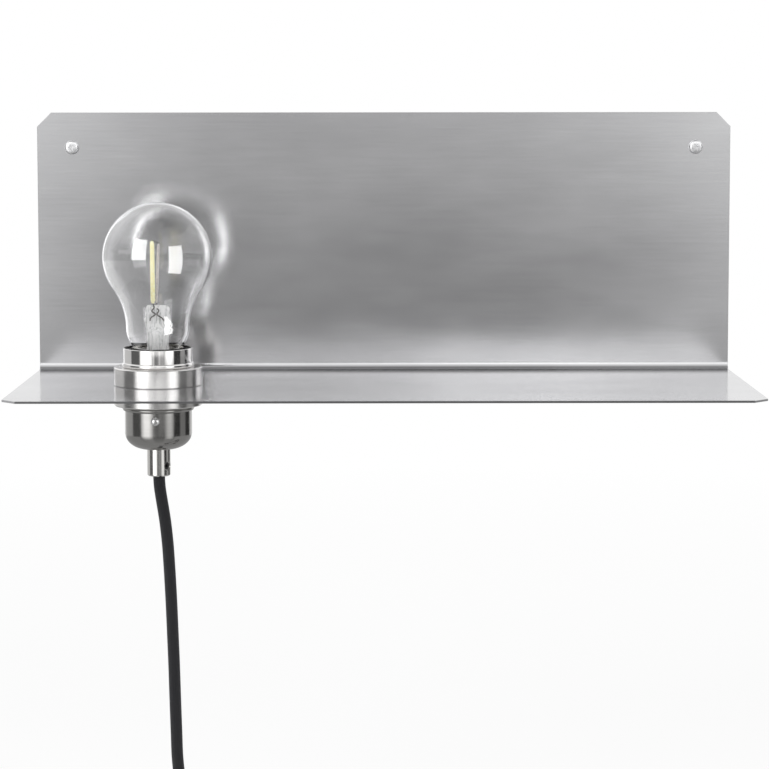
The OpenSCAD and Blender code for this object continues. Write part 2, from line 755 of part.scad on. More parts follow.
module bulb_cap_insulator() {
    hole_r = 2;
    lip_r = 11.3;
    disc_r = 12.2;
    disc_z = cap_base_z + bulb_cap_t;
    color([0.07, 0.07, 0.08]) at_lamp() rotate_extrude()
        polygon([[hole_r, insulator_z], [5.4, insulator_z], [lip_r, cap_base_z - 0.1],
            [lip_r, disc_z], [disc_r, disc_z], [disc_r, disc_z + 1.2], [hole_r, disc_z + 1.2]]);
}

module bulb_tip_contact() {
    tip_r = 4.9;
    color([0.7, 0.7, 0.68]) at_lamp() rotate_extrude()
        polygon([[0, bulb_tip_z], [tip_r - 0.8, bulb_tip_z], [tip_r, bulb_tip_z + 0.5],
            [tip_r, insulator_z], [1.9, insulator_z], [1.9, insulator_z + 3], [0, insulator_z + 3]]);
}

// Flare, tube and flattened press of the glass stem
module glass_stem() {
    flare_r = bulb_cap_r - bulb_cap_t - 0.3 - glass_t - 0.05;
    wall = 0.8;
    press_w = 10.5;
    press_t = 4.4;
    press_h = 10;
    tube_r = 4.6;
    waist = 2;
    stem_h_in_cap = press_z - stem_low_z;
    bend_a = stem_low_z + 0.3 * stem_h_in_cap;
    bend_b = stem_low_z + 0.47 * stem_h_in_cap;
    bend_c = stem_low_z + 0.68 * stem_h_in_cap;
    color([0.9, 0.95, 1, 0.4]) at_lamp() {
        rotate_extrude() polygon([[flare_r, stem_low_z], [flare_r, stem_low_z + 1],
            [tube_r + waist, bend_a], [tube_r + 0.3 * waist, bend_b], [tube_r, bend_c],
            [tube_r, press_z - press_h / 2], [tube_r - wall, press_z - press_h / 2],
            [tube_r - wall, bend_c - 1], [tube_r - wall + 0.3 * waist, bend_b - 0.5],
            [tube_r - wall + waist, bend_a - 0.5], [flare_r - 1, stem_low_z]]);
        translate([0, 0, press_z - press_h]) linear_extrude(height = press_h) {
            square([press_w - press_t, press_t], center = true);
            for (s = [-1, 1]) translate([s * (press_w - press_t) / 2, 0]) circle(d = press_t);
        }
    }
}

module filament_front() {
    color([0.95, 0.85, 0.45]) at_lamp() rod(front_foot, front_head, filament_d / 2);
}

module filament_rear() {
    color([0.95, 0.85, 0.45]) at_lamp() rod(rear_foot, rear_head, filament_d / 2);
}

// Two leads out of the press and a link between the filaments' heads
module lead_wires() {
    wire_r = 0.35;
    head_a = front_head + [0, 0, wire_r + 0.1];
    head_b = rear_head + [0, 0, 1.6 + wire_r];
    color([0.6, 0.6, 0.6]) at_lamp() {
        translate([front_foot[0], front_foot[1], press_z]) cylinder(h = 0.95, r = wire_r, $fn = 16);
        translate([rear_foot[0], min(rear_foot[1], 2), press_z])
            cylinder(h = 0.95, r = wire_r, $fn = 16);
        rod(head_a, head_b, wire_r);
        translate([rear_head[0], rear_head[1], rear_head[2] + 0.1])
            cylinder(h = 1.7, r = wire_r, $fn = 16);
    }
}

module driver_board() {
    low = cap_base_z + bulb_cap_t + 1.2;
    color([0.15, 0.4, 0.2]) at_lamp() {
        translate([-7, -0.6, low]) cube([14, 1.2, 9]);
        translate([-2.5, -0.6 - 5, low + 4]) rotate([-90, 0, 0]) cylinder(h = 5.1, r = 2.2, $fn = 32);
        translate([2, 0.5, low + 2]) cube([4, 2.4, 5]);
    }
}

module cord_drop() {
    color([0.05, 0.05, 0.05]) tube(smooth(drop_points, 2), cord_r, cord_sides, [0.2, 1, 0]);
}

module cord_link() {
    color([0.05, 0.05, 0.05]) tube(smooth(link_points, 2), cord_r, cord_sides);
}

module cord_coil() {
    color([0.05, 0.05, 0.05]) tube(coil_path, cord_r, coil_sides);
}

module cord_tail() {
    color([0.05, 0.05, 0.05]) tube(smooth(tail_points, 2), cord_r, cord_sides);
}

// Flat strap round all the turns on the coil's right
module coil_tie() {
    play = 0.5;
    in_w = 2 * (coil_out_r - coil_mid_r + cord_r + play);
    in_h = 3 * coil_step + cord_d + 0.2;
    corner = 3;
    color([0.1, 0.1, 0.1])
        translate([coil_centre[0] + coil_mid_r, coil_centre[1], floor_cord_z + 1.5 * coil_step])
            rotate([90, 0, 0]) linear_extrude(height = tie_w, center = true) difference() {
                rounded(in_w + 2 * tie_t, in_h + 2 * tie_t, corner + tie_t);
                rounded(in_w, in_h, corner);
            }
}

// Flat rectangle with round corners, centred
module rounded(w, h, r) {
    square([w - 2 * r, h], center = true);
    square([w, h - 2 * r], center = true);
    for (x = [-1, 1], y = [-1, 1]) translate([x * (w / 2 - r), y * (h / 2 - r)]) circle(r = r);
}

// Block with round corners seen from above and from its end, shrunk inward by t
module switch_form(t) {
    intersection() {
        linear_extrude(height = far, center = true)
            rounded(switch_l - 2 * t, switch_w - 2 * t, switch_corner_r - t);
        rotate([90, 0, 90]) linear_extrude(height = far, center = true)
            rounded(switch_w - 2 * t, switch_h - 2 * t, switch_edge_r - t / 2);
    }
}

// Seats of the two sleeves and of the cord in the end walls
module switch_ends() {
    for (s = [-1, 1]) rotate([0, 90 * s, 0])
        translate([0, 0, switch_l / 2 - switch_wall - 1])
            cylinder(h = far, r = sleeve_neck_r + neck_play, $fn = 48);
}

module switch_lower_housing() {
    boss_r = 2.9;
    color([0.07, 0.07, 0.07]) at_switch() difference() {
        union() {
            intersection() {
                difference() {
                    switch_form(0);
                    switch_form(switch_wall);
                }
                translate([-far / 2, -far / 2, -far]) cube([far, far, far]);
            }
            for (s = [-1, 1]) translate([s * switch_screw_at[0], s * switch_screw_at[1],
                -switch_h / 2 + switch_wall / 2])
                cylinder(h = switch_h / 2 - switch_wall / 2, r = boss_r, $fn = 48);
        }
        switch_ends();
        for (s = [-1, 1])
            translate([s * switch_screw_at[0], s * switch_screw_at[1], -switch_h / 2 - eps]) {
                cylinder(h = far, d = switch_screw_d + 0.4, $fn = 32);
                cylinder(h = 2.1, r = 2.5, $fn = 32);
            }
    }
}

module switch_upper_housing() {
    boss_r = 2.9;
    roof = switch_h / 2 - switch_wall;
    ear_in = rocker_w / 2 + ear_gap;
    ear_w = 6;
    color([0.07, 0.07, 0.07]) at_switch() difference() {
        union() {
            intersection() {
                difference() {
                    switch_form(0);
                    switch_form(switch_wall);
                }
                translate([-far / 2, -far / 2, 0]) cube([far, far, far]);
            }
            for (s = [-1, 1]) translate([s * switch_screw_at[0], s * switch_screw_at[1], 0])
                cylinder(h = roof + switch_wall / 2, r = boss_r, $fn = 48);
            for (s = [-1, 1]) translate([-ear_w / 2, s > 0 ? ear_in : -ear_in - ear_t, 1.5])
                cube([ear_w, ear_t, roof + switch_wall / 2 - 1.5]);
        }
        switch_ends();
        translate([0, 0, far / 2 + roof - eps]) cube([opening_l, opening_w, far], center = true);
        translate([0, 0, pivot_z]) rotate([90, 0, 0])
            cylinder(h = 2 * (ear_in + ear_t) + 0.4, d = pivot_d + 0.1, $fn = 48, center = true);
        for (s = [-1, 1]) translate([s * switch_screw_at[0], s * switch_screw_at[1], -eps])
            cylinder(h = 6, d = switch_screw_d + 0.05, $fn = 32);
    }
}

// Local origin on the rocker's pivot, tilted to its stop with the right end down
module at_rocker() {
    at_switch() translate([0, 0, pivot_z]) rotate([0, rocker_tilt, 0]) children();
}

module switch_rocker() {
    half = rocker_l / 2;
    r = 1;
    profile = concat([[-half + 0.8, 0.5], [-4, -rocker_low], [4, -rocker_low], [half - 0.8, 0.5]],
        arc([half - r, rocker_top - r], r, 0, 90, 6), [[0, rocker_top - 1.6]],
        arc([-half + r, rocker_top - r], r, 90, 180, 6));
    color([0.09, 0.09, 0.09]) at_rocker() {
        rotate([90, 0, 0]) linear_extrude(height = rocker_w, center = true) polygon(profile);
        rotate([90, 0, 0]) cylinder(h = rocker_w + 2 * (ear_gap + ear_t) - 0.2, d = pivot_d,
            $fn = 48, center = true);
    }
}

// Contact strip that tips with the rocker
module switch_seesaw() {
    color([0.8, 0.66, 0.34]) at_rocker() translate([0, 0, -rocker_low - seesaw_t / 2])
        cube([seesaw_l, seesaw_w, seesaw_t], center = true);
}

// Height of the fixed contacts: just under the lower end of the tipped strip
contact_top = pivot_z - (rocker_low + seesaw_t) * cos(rocker_tilt)
    - seesaw_l / 2 * sin(rocker_tilt) - 0.25;

module switch_contacts() {
    floor_z = -switch_h / 2 + switch_wall;
    x = seesaw_l / 2 - 0.8;
    color([0.8, 0.66, 0.34]) at_switch() for (s = [-1, 1])
        translate([s * x - 1.25, -2.5, floor_z]) cube([2.5, 5, contact_top - floor_z]);
}

// Live core cut at the contacts, the two other cores led past them
module switch_cores() {
    floor_z = -switch_h / 2 + switch_wall;
    run_z = floor_z + core_d / 2 + 0.2;
    end_x = switch_l / 2 - 8.1;
    post_x = seesaw_l / 2 + 0.5;
    r = core_d / 2;
    color([0.35, 0.2, 0.1]) at_switch() for (s = [-1, 1])
        tube(smooth([[s * end_x, 0, 1.4], [s * (end_x - 4), 0, 1.2], [s * (post_x + 5), 0, -3],
            [s * (post_x + 0.1), 0, -3.6]], 3), r, 8, [0, 1, 0]);
    color([0.15, 0.3, 0.6]) at_switch() for (s = [-1, 1])
        tube(smooth([[-end_x, s * 1.3, -1], [4 - end_x, s * 1.5, -1.2], [8 - end_x, s * 3.4, run_z + 1],
            [12 - end_x, s * 4.6, run_z], [end_x - 12, s * 4.6, run_z], [end_x - 8, s * 3.4, run_z + 1],
            [end_x - 4, s * 1.5, -1.2], [end_x, s * 1.3, -1]], 3), r, 8);
}

module switch_screws() {
    color([0.6, 0.6, 0.6]) at_switch() for (s = [-1, 1])
        translate([s * switch_screw_at[0], s * switch_screw_at[1], -switch_h / 2]) difference() {
            union() {
                translate([0, 0, 0.4]) cylinder(h = 1.6, r = 2.4, $fn = 32);
                translate([0, 0, 1]) cylinder(h = switch_h / 2 + 4, d = switch_screw_d, $fn = 32);
            }
            translate([0, 0, -eps]) {
                translate([-1.7, -0.3, 0]) cube([3.4, 0.6, 1.3]);
                translate([-0.3, -1.7, 0]) cube([0.6, 3.4, 1.3]);
            }
        }
}

// Tapered rubber sleeve: flange inside the end wall, neck through it, ribbed taper outside
module switch_sleeve(s) {
    wall_in = switch_l / 2 - switch_wall;
    wide_r = 5.8;
    thin_r = 4.3;
    ribs = 5;
    bore_r = cord_bore_r;
    taper = [for (i = [0:ribs - 1]) let (
        z0 = switch_l / 2 + 3 + (relief_l - 5) * i / ribs,
        r0 = wide_r + (thin_r - wide_r) * i / ribs,
        rib = (relief_l - 5) / ribs)
        for (q = [[r0, z0], [r0 - 0.1, z0 + rib * 0.6], [r0 - 0.8, z0 + rib * 0.65],
            [r0 - 0.8, z0 + rib * 0.95]]) q];
    color([0.06, 0.06, 0.06]) at_switch() rotate([0, 90 * s, 0]) rotate_extrude()
        polygon(concat([[bore_r, wall_in - 1.3], [5.4, wall_in - 1.3], [5.4, wall_in - 0.1],
            [sleeve_neck_r, wall_in - 0.1], [sleeve_neck_r, switch_l / 2 + 0.1],
            [wide_r, switch_l / 2 + 0.1]], taper,
            [[thin_r, switch_l / 2 + relief_l - 2], [thin_r, switch_l / 2 + relief_l - 0.6],
            [thin_r - 0.5, switch_l / 2 + relief_l], [bore_r, switch_l / 2 + relief_l]]));
}

module switch_sleeve_in() {
    switch_sleeve(-1);
}

module switch_sleeve_out() {
    switch_sleeve(1);
}

// Round moulded body: face with two earth slots, shoulder, waisted grip
module plug_body() {
    root_depth = 9;
    slot_w = clip_w + 0.4;
    c = 0.8;
    profile = concat([[0, 0], [plug_r - c, 0], [plug_r, c], [plug_r, plug_rim_l]],
        oval([plug_grip_r + 0.6, plug_rim_l], plug_r - plug_grip_r - 0.6, 14, 0, 75, 10),
        [[plug_grip_r, plug_rim_l + 16], [plug_grip_r - 0.4, plug_l - 12],
        [plug_grip_r, plug_l - 4], [plug_grip_r - 1, plug_l - 1], [plug_grip_r - 2.5, plug_l],
        [0, plug_l]]);
    color([0.06, 0.06, 0.06]) at_plug() difference() {
        rotate_extrude() polygon(profile);
        for (s = [-1, 1]) translate([0, s * pin_spacing / 2, -eps])
            cylinder(h = root_depth + eps, r = pin_r - 0.35, $fn = 48);
        for (s = [-1, 1])
            translate([s * (plug_r - 1.8) + (s > 0 ? 0 : -far), -slot_w / 2, -eps])
                cube([far, slot_w, plug_rim_l - 1]);
        translate([0, 0, plug_l - 4.2]) cylinder(h = far, r = cord_bore_r, $fn = 48);
    }
}

module plug_pins() {
    root_depth = 9;
    tip = 1.6;
    color([0.78, 0.76, 0.7]) at_plug() for (s = [-1, 1]) translate([0, s * pin_spacing / 2, 0])
        rotate_extrude($fn = 64)
            polygon(concat([[0, root_depth - 0.1], [pin_r - 0.4, root_depth - 0.1],
                [pin_r - 0.4, 0], [pin_r, 0]],
                oval([pin_r - tip, tip - pin_l], tip, tip, 0, -90, 8), [[0, -pin_l]]));
}

module plug_earth_clips() {
    color([0.78, 0.76, 0.7]) at_plug() for (s = [-1, 1]) {
        x = plug_r - 1.8;
        translate([s > 0 ? x : -x - clip_t, -clip_w / 2, 0.3])
            cube([clip_t, clip_w, plug_rim_l - 1.6]);
    }
}

module plug_relief() {
    wide_r = 7.2;
    thin_r = 4.4;
    ribs = 6;
    start = plug_l + 0.1;
    run = plug_relief_l - 4;
    taper = [for (i = [0:ribs - 1]) let (
        z0 = start + 1.5 + run * i / ribs,
        r0 = wide_r + (thin_r - wide_r) * i / ribs,
        rib = run / ribs)
        for (q = [[r0, z0], [r0 - 0.2, z0 + rib * 0.55], [r0 - 1, z0 + rib * 0.6],
            [r0 - 1, z0 + rib * 0.95]]) q];
    color([0.06, 0.06, 0.06]) at_plug() rotate_extrude()
        polygon(concat([[cord_bore_r, start], [wide_r, start]], taper,
            [[thin_r, start + run + 1.5], [thin_r, start + plug_relief_l - 0.5],
            [thin_r - 0.5, start + plug_relief_l], [cord_bore_r, start + plug_relief_l]]));
}

shelf_plate();
wall_screw_left();
wall_screw_right();
shade_ring_upper();
shade_ring_lower();
holder_shell();
holder_cap();
cap_lock_screw();
cord_grip();
grip_set_screw();
threaded_nipple();
nipple_nut();
holder_liner();
contact_sleeve();
contact_block();
centre_contact();
side_contact();
terminal_live();
terminal_neutral();
terminal_screws();
earth_tag();
earth_screw();
core_live();
core_neutral();
core_earth();
bulb_glass();
bulb_cap();
bulb_cap_insulator();
bulb_tip_contact();
glass_stem();
filament_front();
filament_rear();
lead_wires();
driver_board();
cord_drop();
switch_lower_housing();
switch_upper_housing();
switch_rocker();
switch_seesaw();
switch_contacts();
switch_cores();
switch_screws();
switch_sleeve_in();
switch_sleeve_out();
cord_link();
cord_coil();
coil_tie();
cord_tail();
plug_body();
plug_pins();
plug_earth_clips();
plug_relief();
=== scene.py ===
# Wall lamp on a bent steel shelf. Metres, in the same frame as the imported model:
# the origin lies on the wall between the two screws, +Y goes into the wall, +Z is up.
import math

import bmesh
import bpy
from mathutils import Matrix, Vector, noise


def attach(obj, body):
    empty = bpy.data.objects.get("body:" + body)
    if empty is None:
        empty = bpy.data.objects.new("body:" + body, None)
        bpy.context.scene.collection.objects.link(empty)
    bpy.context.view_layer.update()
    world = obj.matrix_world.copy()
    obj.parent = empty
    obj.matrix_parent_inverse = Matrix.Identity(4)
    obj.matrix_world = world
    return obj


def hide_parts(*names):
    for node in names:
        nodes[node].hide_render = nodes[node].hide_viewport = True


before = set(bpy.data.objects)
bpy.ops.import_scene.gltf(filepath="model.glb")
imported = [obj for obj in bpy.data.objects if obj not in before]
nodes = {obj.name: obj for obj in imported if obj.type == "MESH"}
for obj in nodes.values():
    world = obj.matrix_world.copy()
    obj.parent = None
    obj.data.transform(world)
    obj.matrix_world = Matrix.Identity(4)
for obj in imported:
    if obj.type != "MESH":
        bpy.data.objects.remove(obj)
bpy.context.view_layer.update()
scene = bpy.context.scene
mm = 0.001
lamp = Vector((-124.5, -75, -128.8))  # lamp's axis at the shelf's top face, in millimetres


# Camera: the photograph's view
cameraSetup = {
    "place": (-0.0044, -1.3496, 0.0235), "pitch": -4.751, "yaw": 0.215, "roll": -0.053,
    "focalPixels": 2331.0, "picture": 769, "shift": (-0.0009, -0.1099), "sensor": 36, "clip": (0.05, 60),
}


def makeCamera(setup):
    pitch, yaw, roll = (math.radians(setup[k]) for k in ("pitch", "yaw", "roll"))
    ahead = Vector((math.sin(yaw) * math.cos(pitch), math.cos(yaw) * math.cos(pitch), math.sin(pitch)))
    side = Vector((math.cos(yaw), -math.sin(yaw), 0))
    up = side.cross(ahead)
    right = side * math.cos(roll) + up * math.sin(roll)
    top = up * math.cos(roll) - side * math.sin(roll)
    data = bpy.data.cameras.new("photoCamera")
    data.sensor_width = setup["sensor"]
    data.lens = setup["focalPixels"] * setup["sensor"] / setup["picture"]
    data.shift_x, data.shift_y = setup["shift"]
    data.clip_start, data.clip_end = setup["clip"]
    camera = bpy.data.objects.new("photoCamera", data)
    turn = Matrix((right, top, -ahead)).transposed().to_4x4()
    camera.matrix_world = Matrix.Translation(setup["place"]) @ turn
    scene.collection.objects.link(camera)
    scene.camera = camera


makeCamera(cameraSetup)
print("camera ready")


# Small tools
def addPiece(name, mesh):
    piece = bpy.data.objects.new(name, mesh)
    scene.collection.objects.link(piece)
    return piece


def finishMesh(bm, name, sharpAngle=38):
    bmesh.ops.remove_doubles(bm, verts=bm.verts, dist=1e-7)
    bmesh.ops.recalc_face_normals(bm, faces=bm.faces)
    for face in bm.faces:
        face.smooth = True
    for edge in bm.edges:
        edge.smooth = len(edge.link_faces) == 2 and edge.calc_face_angle(0) < math.radians(sharpAngle)
    mesh = bpy.data.meshes.new(name)
    bm.to_mesh(mesh)
    bm.free()
    return mesh


# Turns a profile of (radius, height) in millimetres round a vertical line through centre. wave
# adds to the radius, from the point's number in the profile, the angle and the height
def revolve(name, profile, centre=lamp, steps=128, closed=True, wave=None, sharpAngle=38):
    bm = bmesh.new()
    rings = []
    for k, (r, z) in enumerate(profile):
        if r < 1e-6:
            rings.append([bm.verts.new((Vector((0, 0, z)) + centre) * mm)])
            continue
        ring = []
        for i in range(steps):
            a = 2 * math.pi * i / steps
            rr = r + (wave(k, a, z) if wave else 0)
            ring.append(bm.verts.new((Vector((rr * math.cos(a), rr * math.sin(a), z)) + centre) * mm))
        rings.append(ring)
    pairs = list(zip(rings, rings[1:] + rings[:1])) if closed else list(zip(rings, rings[1:]))
    for low, high in pairs:
        for i in range(steps):
            j = (i + 1) % steps
            if len(low) == 1 and len(high) == 1:
                break
            if len(low) == 1:
                bm.faces.new((low[0], high[i], high[j]))
            elif len(high) == 1:
                bm.faces.new((low[i], low[j], high[0]))
            else:
                bm.faces.new((low[i], low[j], high[j], high[i]))
    return addPiece(name, finishMesh(bm, name, sharpAngle))


# Points on an arc in degrees, or on an ellipse if rz is given
def arc(cx, cz, r, start, end, n=12, rz=None):
    rz = r if rz is None else rz
    return [(cx + r * math.cos(math.radians(start + (end - start) * i / n)),
             cz + rz * math.sin(math.radians(start + (end - start) * i / n))) for i in range(n + 1)]


# A curve through points with the given steps to each span, as in the part's source
def smoothRoute(points, steps):
    points = [Vector(p) for p in points]
    last = len(points) - 1
    made = []
    for i in range(last):
        a, b, c, d = points[max(i - 1, 0)], points[i], points[i + 1], points[min(i + 2, last)]
        span = (c - b).length
        m0 = c - b if i == 0 else (c - a) * span / ((b - a).length + span)
        m1 = c - b if i == last - 1 else (d - b) * span / ((d - c).length + span)
        for k in range(steps):
            t = k / steps
            made.append((2 * t**3 - 3 * t**2 + 1) * b + (t**3 - 2 * t**2 + t) * m0
                        + (3 * t**2 - 2 * t**3) * c + (t**3 - t**2) * m1)
    return made + [points[-1]]


# Points about a step apart along a route
def evenRoute(points, step):
    total = [0.0]
    for a, b in zip(points, points[1:]):
        total.append(total[-1] + (b - a).length)
    count = max(2, round(total[-1] / step))
    made, at = [], 0
    for i in range(count + 1):
        want = total[-1] * i / count
        while at < len(points) - 2 and total[at + 1] < want:
            at += 1
        span = total[at + 1] - total[at]
        made.append(points[at].lerp(points[at + 1], (want - total[at]) / span if span else 0))
    return made


# A closed tube along route, all in millimetres, with U round it and V along it in girths. radii
# are those of its rings, where they differ
def tube(name, route, radius, sides, radii=None):
    bm = bmesh.new()
    uvLayer = bm.loops.layers.uv.new("UVMap")
    side = Vector((0.2, 1, 0.1))  # no route starts this way
    rings, walked = [], 0.0
    for i, p in enumerate(route):
        ahead = (route[min(i + 1, len(route) - 1)] - route[max(i - 1, 0)]).normalized()
        side = (side - ahead * side.dot(ahead)).normalized()
        other = ahead.cross(side)
        if i:
            walked += (p - route[i - 1]).length
        r = radius if radii is None else radii[i]
        ring = [bm.verts.new((p + (side * math.cos(2 * math.pi * k / sides)
                                   + other * math.sin(2 * math.pi * k / sides)) * r) * mm)
                for k in range(sides)]
        rings.append((ring, walked / (2 * math.pi * radius)))
    for (low, v0), (high, v1) in zip(rings, rings[1:]):
        for k in range(sides):
            j = (k + 1) % sides
            face = bm.faces.new((low[k], low[j], high[j], high[k]))
            for loop, uv in zip(face.loops, ((k, v0), (k + 1, v0), (k + 1, v1), (k, v1))):
                loop[uvLayer].uv = (uv[0] / sides, uv[1])
    bm.faces.new(list(reversed(rings[0][0])))
    bm.faces.new(rings[-1][0])
    return addPiece(name, finishMesh(bm, name, 60))


# Skins rings of points of the same number, each a list of (x, y, z) in metres, and closes the ends
def skin(name, layers, sharpAngle=38):
    bm = bmesh.new()
    layers = [[bm.verts.new(p) for p in layer] for layer in layers]
    for low, high in zip(layers, layers[1:]):
        for k in range(len(low)):
            j = (k + 1) % len(low)
            bm.faces.new((low[k], low[j], high[j], high[k]))
    bm.faces.new(list(reversed(layers[0])))
    bm.faces.new(layers[-1])
    return addPiece(name, finishMesh(bm, name, sharpAngle))


def joinPieces(name, pieces):
    bm = bmesh.new()
    for piece in pieces:
        bm.from_mesh(piece.data)
        bpy.data.objects.remove(piece)
    mesh = bpy.data.meshes.new(name)
    bm.to_mesh(mesh)
    bm.free()
    return addPiece(name, mesh)


# A box of the given size in millimetres, turned in degrees about an axis and then moved
def block(name, size, place, turn=0, axis="Z"):
    bm = bmesh.new()
    bmesh.ops.create_cube(bm, size=1)
    bmesh.ops.scale(bm, vec=Vector(size) * mm, verts=bm.verts)
    bmesh.ops.rotate(bm, cent=(0, 0, 0), matrix=Matrix.Rotation(math.radians(turn), 3, axis), verts=bm.verts)
    bmesh.ops.translate(bm, vec=Vector(place) * mm, verts=bm.verts)
    return addPiece(name, finishMesh(bm, name))


# An upright round cutter that reaches well past the sheet
def drill(radius, centre, steps):
    reach = sheet["cutter"] / 2
    profile = [(0, -reach), (radius, -reach), (radius, reach), (0, reach)]
    return revolve("knife", profile, centre, steps, closed=False)


# Works a piece's modifiers into its mesh
def applyModifiers(piece):
    bpy.context.view_layer.update()
    piece.data = bpy.data.meshes.new_from_object(piece.evaluated_get(bpy.context.evaluated_depsgraph_get()))
    piece.modifiers.clear()


# Cuts the knives out of a piece and deletes them
def carve(piece, knives):
    for knife in knives:
        cut = piece.modifiers.new("cut", "BOOLEAN")
        cut.operation, cut.solver, cut.object = "DIFFERENCE", "EXACT", knife
    applyModifiers(piece)
    for knife in knives:
        bpy.data.objects.remove(knife)
    bm = bmesh.new()
    bm.from_mesh(piece.data)
    piece.data = finishMesh(bm, piece.name)


# Cord: one run from the grip to the switch, one from the switch to the plug. Its points are those
# of the part's source
cordSetup = {
    "diameter": 6.5, "ringStep": 1.6, "sides": 20,
    "dropLength": 0.338, "leadLength": 1.916,
    "coilCentre": (140, -92), "coilStep": 7, "coilMiddle": 36, "coilTurns": 7.5, "turnsInLayer": 2,
    "ringsInTurn": 48, "layZ": -400, "curveSteps": 8,
}
dropPoints = [
    (-124.5, -75, -171.7), (-124.5, -75, -175.7), (-124.5, -75, -179.2), (-124.4, -75, -182.5),
    (-124.1, -75, -186.3), (-123.3, -75, -192), (-122.2, -75, -199), (-121.2, -75, -206),
    (-120, -75, -218), (-119.2, -75, -231), (-118.3, -75, -250), (-117.7, -75, -267),
    (-117.1, -75, -285), (-116.6, -75, -305), (-116.1, -75, -323), (-115.5, -75, -340),
    (-113.5, -75, -355), (-109, -74.3, -369),
    (-101.5, -72.5, -381), (-91, -69.5, -390), (-79, -65.5, -396), (-66, -60.5, -399.2),
    (-54, -55.8, -400), (-46, -52.9, -399.6), (-38, -50.7, -398), (-31, -49.4, -395.7),
    (-25, -49, -394.3), (-22, -49, -394), (-19, -49, -394), (-4, -49, -394), (13, -49, -394)]
linkPoints = [
    (57, -49, -394), (73, -49, -394), (89, -49, -394), (91, -49, -394), (97, -49, -394.6),
    (106, -49, -397), (114, -49, -399.2), (121, -49, -400), (127, -49, -400), (133.5, -49, -400)]
tailPoints = [
    (133.5, -131.5, -379), (127, -131.5, -379), (121, -131.5, -379), (108, -131.4, -379.8),
    (94, -131, -381.8), (80, -130.2, -384.6), (66, -129.3, -386.8), (52, -128.5, -387.2),
    (40, -128.1, -386), (31, -128, -385.1), (26, -128, -385), (22, -128, -385), (5, -128, -385),
    (-12, -128, -385)]


# Layers that spiral in, out, in and out again, each climbing on the one below
def coilRoute(setup):
    layer, step, rings = setup["turnsInLayer"], setup["coilStep"], setup["ringsInTurn"]
    outer = setup["coilMiddle"] + step * layer / 2
    made = []
    for i in range(int(setup["coilTurns"] * rings) + 1):
        turn = i / rings
        back = turn % (2 * layer)
        r = outer - step * (back if back < layer else 2 * layer - back)
        k = math.floor((turn + 0.25) / layer)
        past = turn + 0.25 - k * layer
        climb = 0 if k < 1 else k - 1 + ((1 - math.cos(2 * math.pi * past)) / 2 if past < 0.5 else 1)
        a = math.radians(90 - 360 * turn)
        made.append(Vector((setup["coilCentre"][0] + r * math.cos(a),
                            setup["coilCentre"][1] + r * math.sin(a), setup["layZ"] + step * climb)))
    return made


drop, link, tail = (smoothRoute(points, cordSetup["curveSteps"])
                    for points in (dropPoints, linkPoints, tailPoints))
dropRoute = evenRoute(drop, cordSetup["ringStep"])
leadRoute = evenRoute(link[:-1] + coilRoute(cordSetup) + tail[1:], cordSetup["ringStep"])
cordDrop = tube("cordDrop", dropRoute, cordSetup["diameter"] / 2, cordSetup["sides"])
cordLead = tube("cordLead", leadRoute, cordSetup["diameter"] / 2, cordSetup["sides"])
for piece, standsFor in ((cordDrop, ["cord_drop"]), (cordLead, ["cord_link", "cord_coil", "cord_tail"])):
    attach(piece, "root")
    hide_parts(*standsFor)
print("cord ready")


# Finishes. What a tree's calls are given is linked if it is a socket and set if it is a value
class Tree:
    def __init__(self, data):
        self.data = data

    def feed(self, node, inputs):
        for key, value in inputs.items():
            if isinstance(value, bpy.types.NodeSocket):
                self.data.links.new(value, node.inputs[key])
            else:
                node.inputs[key].default_value = value
        return node

    def add(self, kind, inputs=None, **settings):
        made = self.data.nodes.new("ShaderNode" + kind)
        for key, value in settings.items():
            setattr(made, key, value)
        return self.feed(made, inputs or {})

    def get(self, kind, inputs=None, output=0, **settings):
        return self.add(kind, inputs, **settings).outputs[output]

    def use(self, group, inputs):
        return self.add("Group", inputs, node_tree=group).outputs

    def math(self, operation, a, b=0.0, clamp=False):
        return self.get("Math", {0: a, 1: b}, operation=operation, use_clamp=clamp)

    def times(self, made, *others, clamp=False):
        for other in others:
            made = self.math("MULTIPLY", made, other, clamp)
        return made

    def plus(self, a, b):
        return self.math("ADD", a, b)

    def most(self, made, *others):
        for other in others:
            made = self.math("MAXIMUM", made, other)
        return made

    def vector(self, operation, a, b, output=0):
        return self.get("VectorMath", {0: a, 1: b}, output, operation=operation)

    def scaled(self, vector, by):
        return self.get("VectorMath", {0: vector, "Scale": by}, operation="SCALE")

    def length(self, vector):
        return self.get("VectorMath", {0: vector}, "Value", operation="LENGTH")

    def apart(self, vector):
        return self.add("SeparateXYZ", {0: vector}).outputs

    def together(self, *parts):
        return self.get("CombineXYZ", dict(enumerate(parts)))

    def place(self):
        return self.get("TexCoord", output="Object")

    def normal(self):
        return self.get("NewGeometry", output="Normal")

    def noise(self, at, scale=1.0, detail=2.0, rough=0.5):
        return self.get("TexNoise", {"Vector": at, "Scale": scale, "Detail": detail, "Roughness": rough})

    def bump(self, strength, distance, height):
        return self.get("Bump", {"Strength": strength, "Distance": distance, "Height": height})

    def remap(self, value, low, high, fromLow=0.0, fromHigh=1.0):
        return self.get("MapRange", {0: value, 1: fromLow, 2: fromHigh, 3: low, 4: high})

    def blend(self, factor, a, b):
        return self.get("Mix", {0: factor, 2: a, 3: b}, data_type="FLOAT")

    def mix(self, factor, a, b):
        a, b = ((*color, 1.0) if isinstance(color, tuple) else color for color in (a, b))
        return self.get("Mix", {0: factor, 6: a, 7: b}, 2, data_type="RGBA")


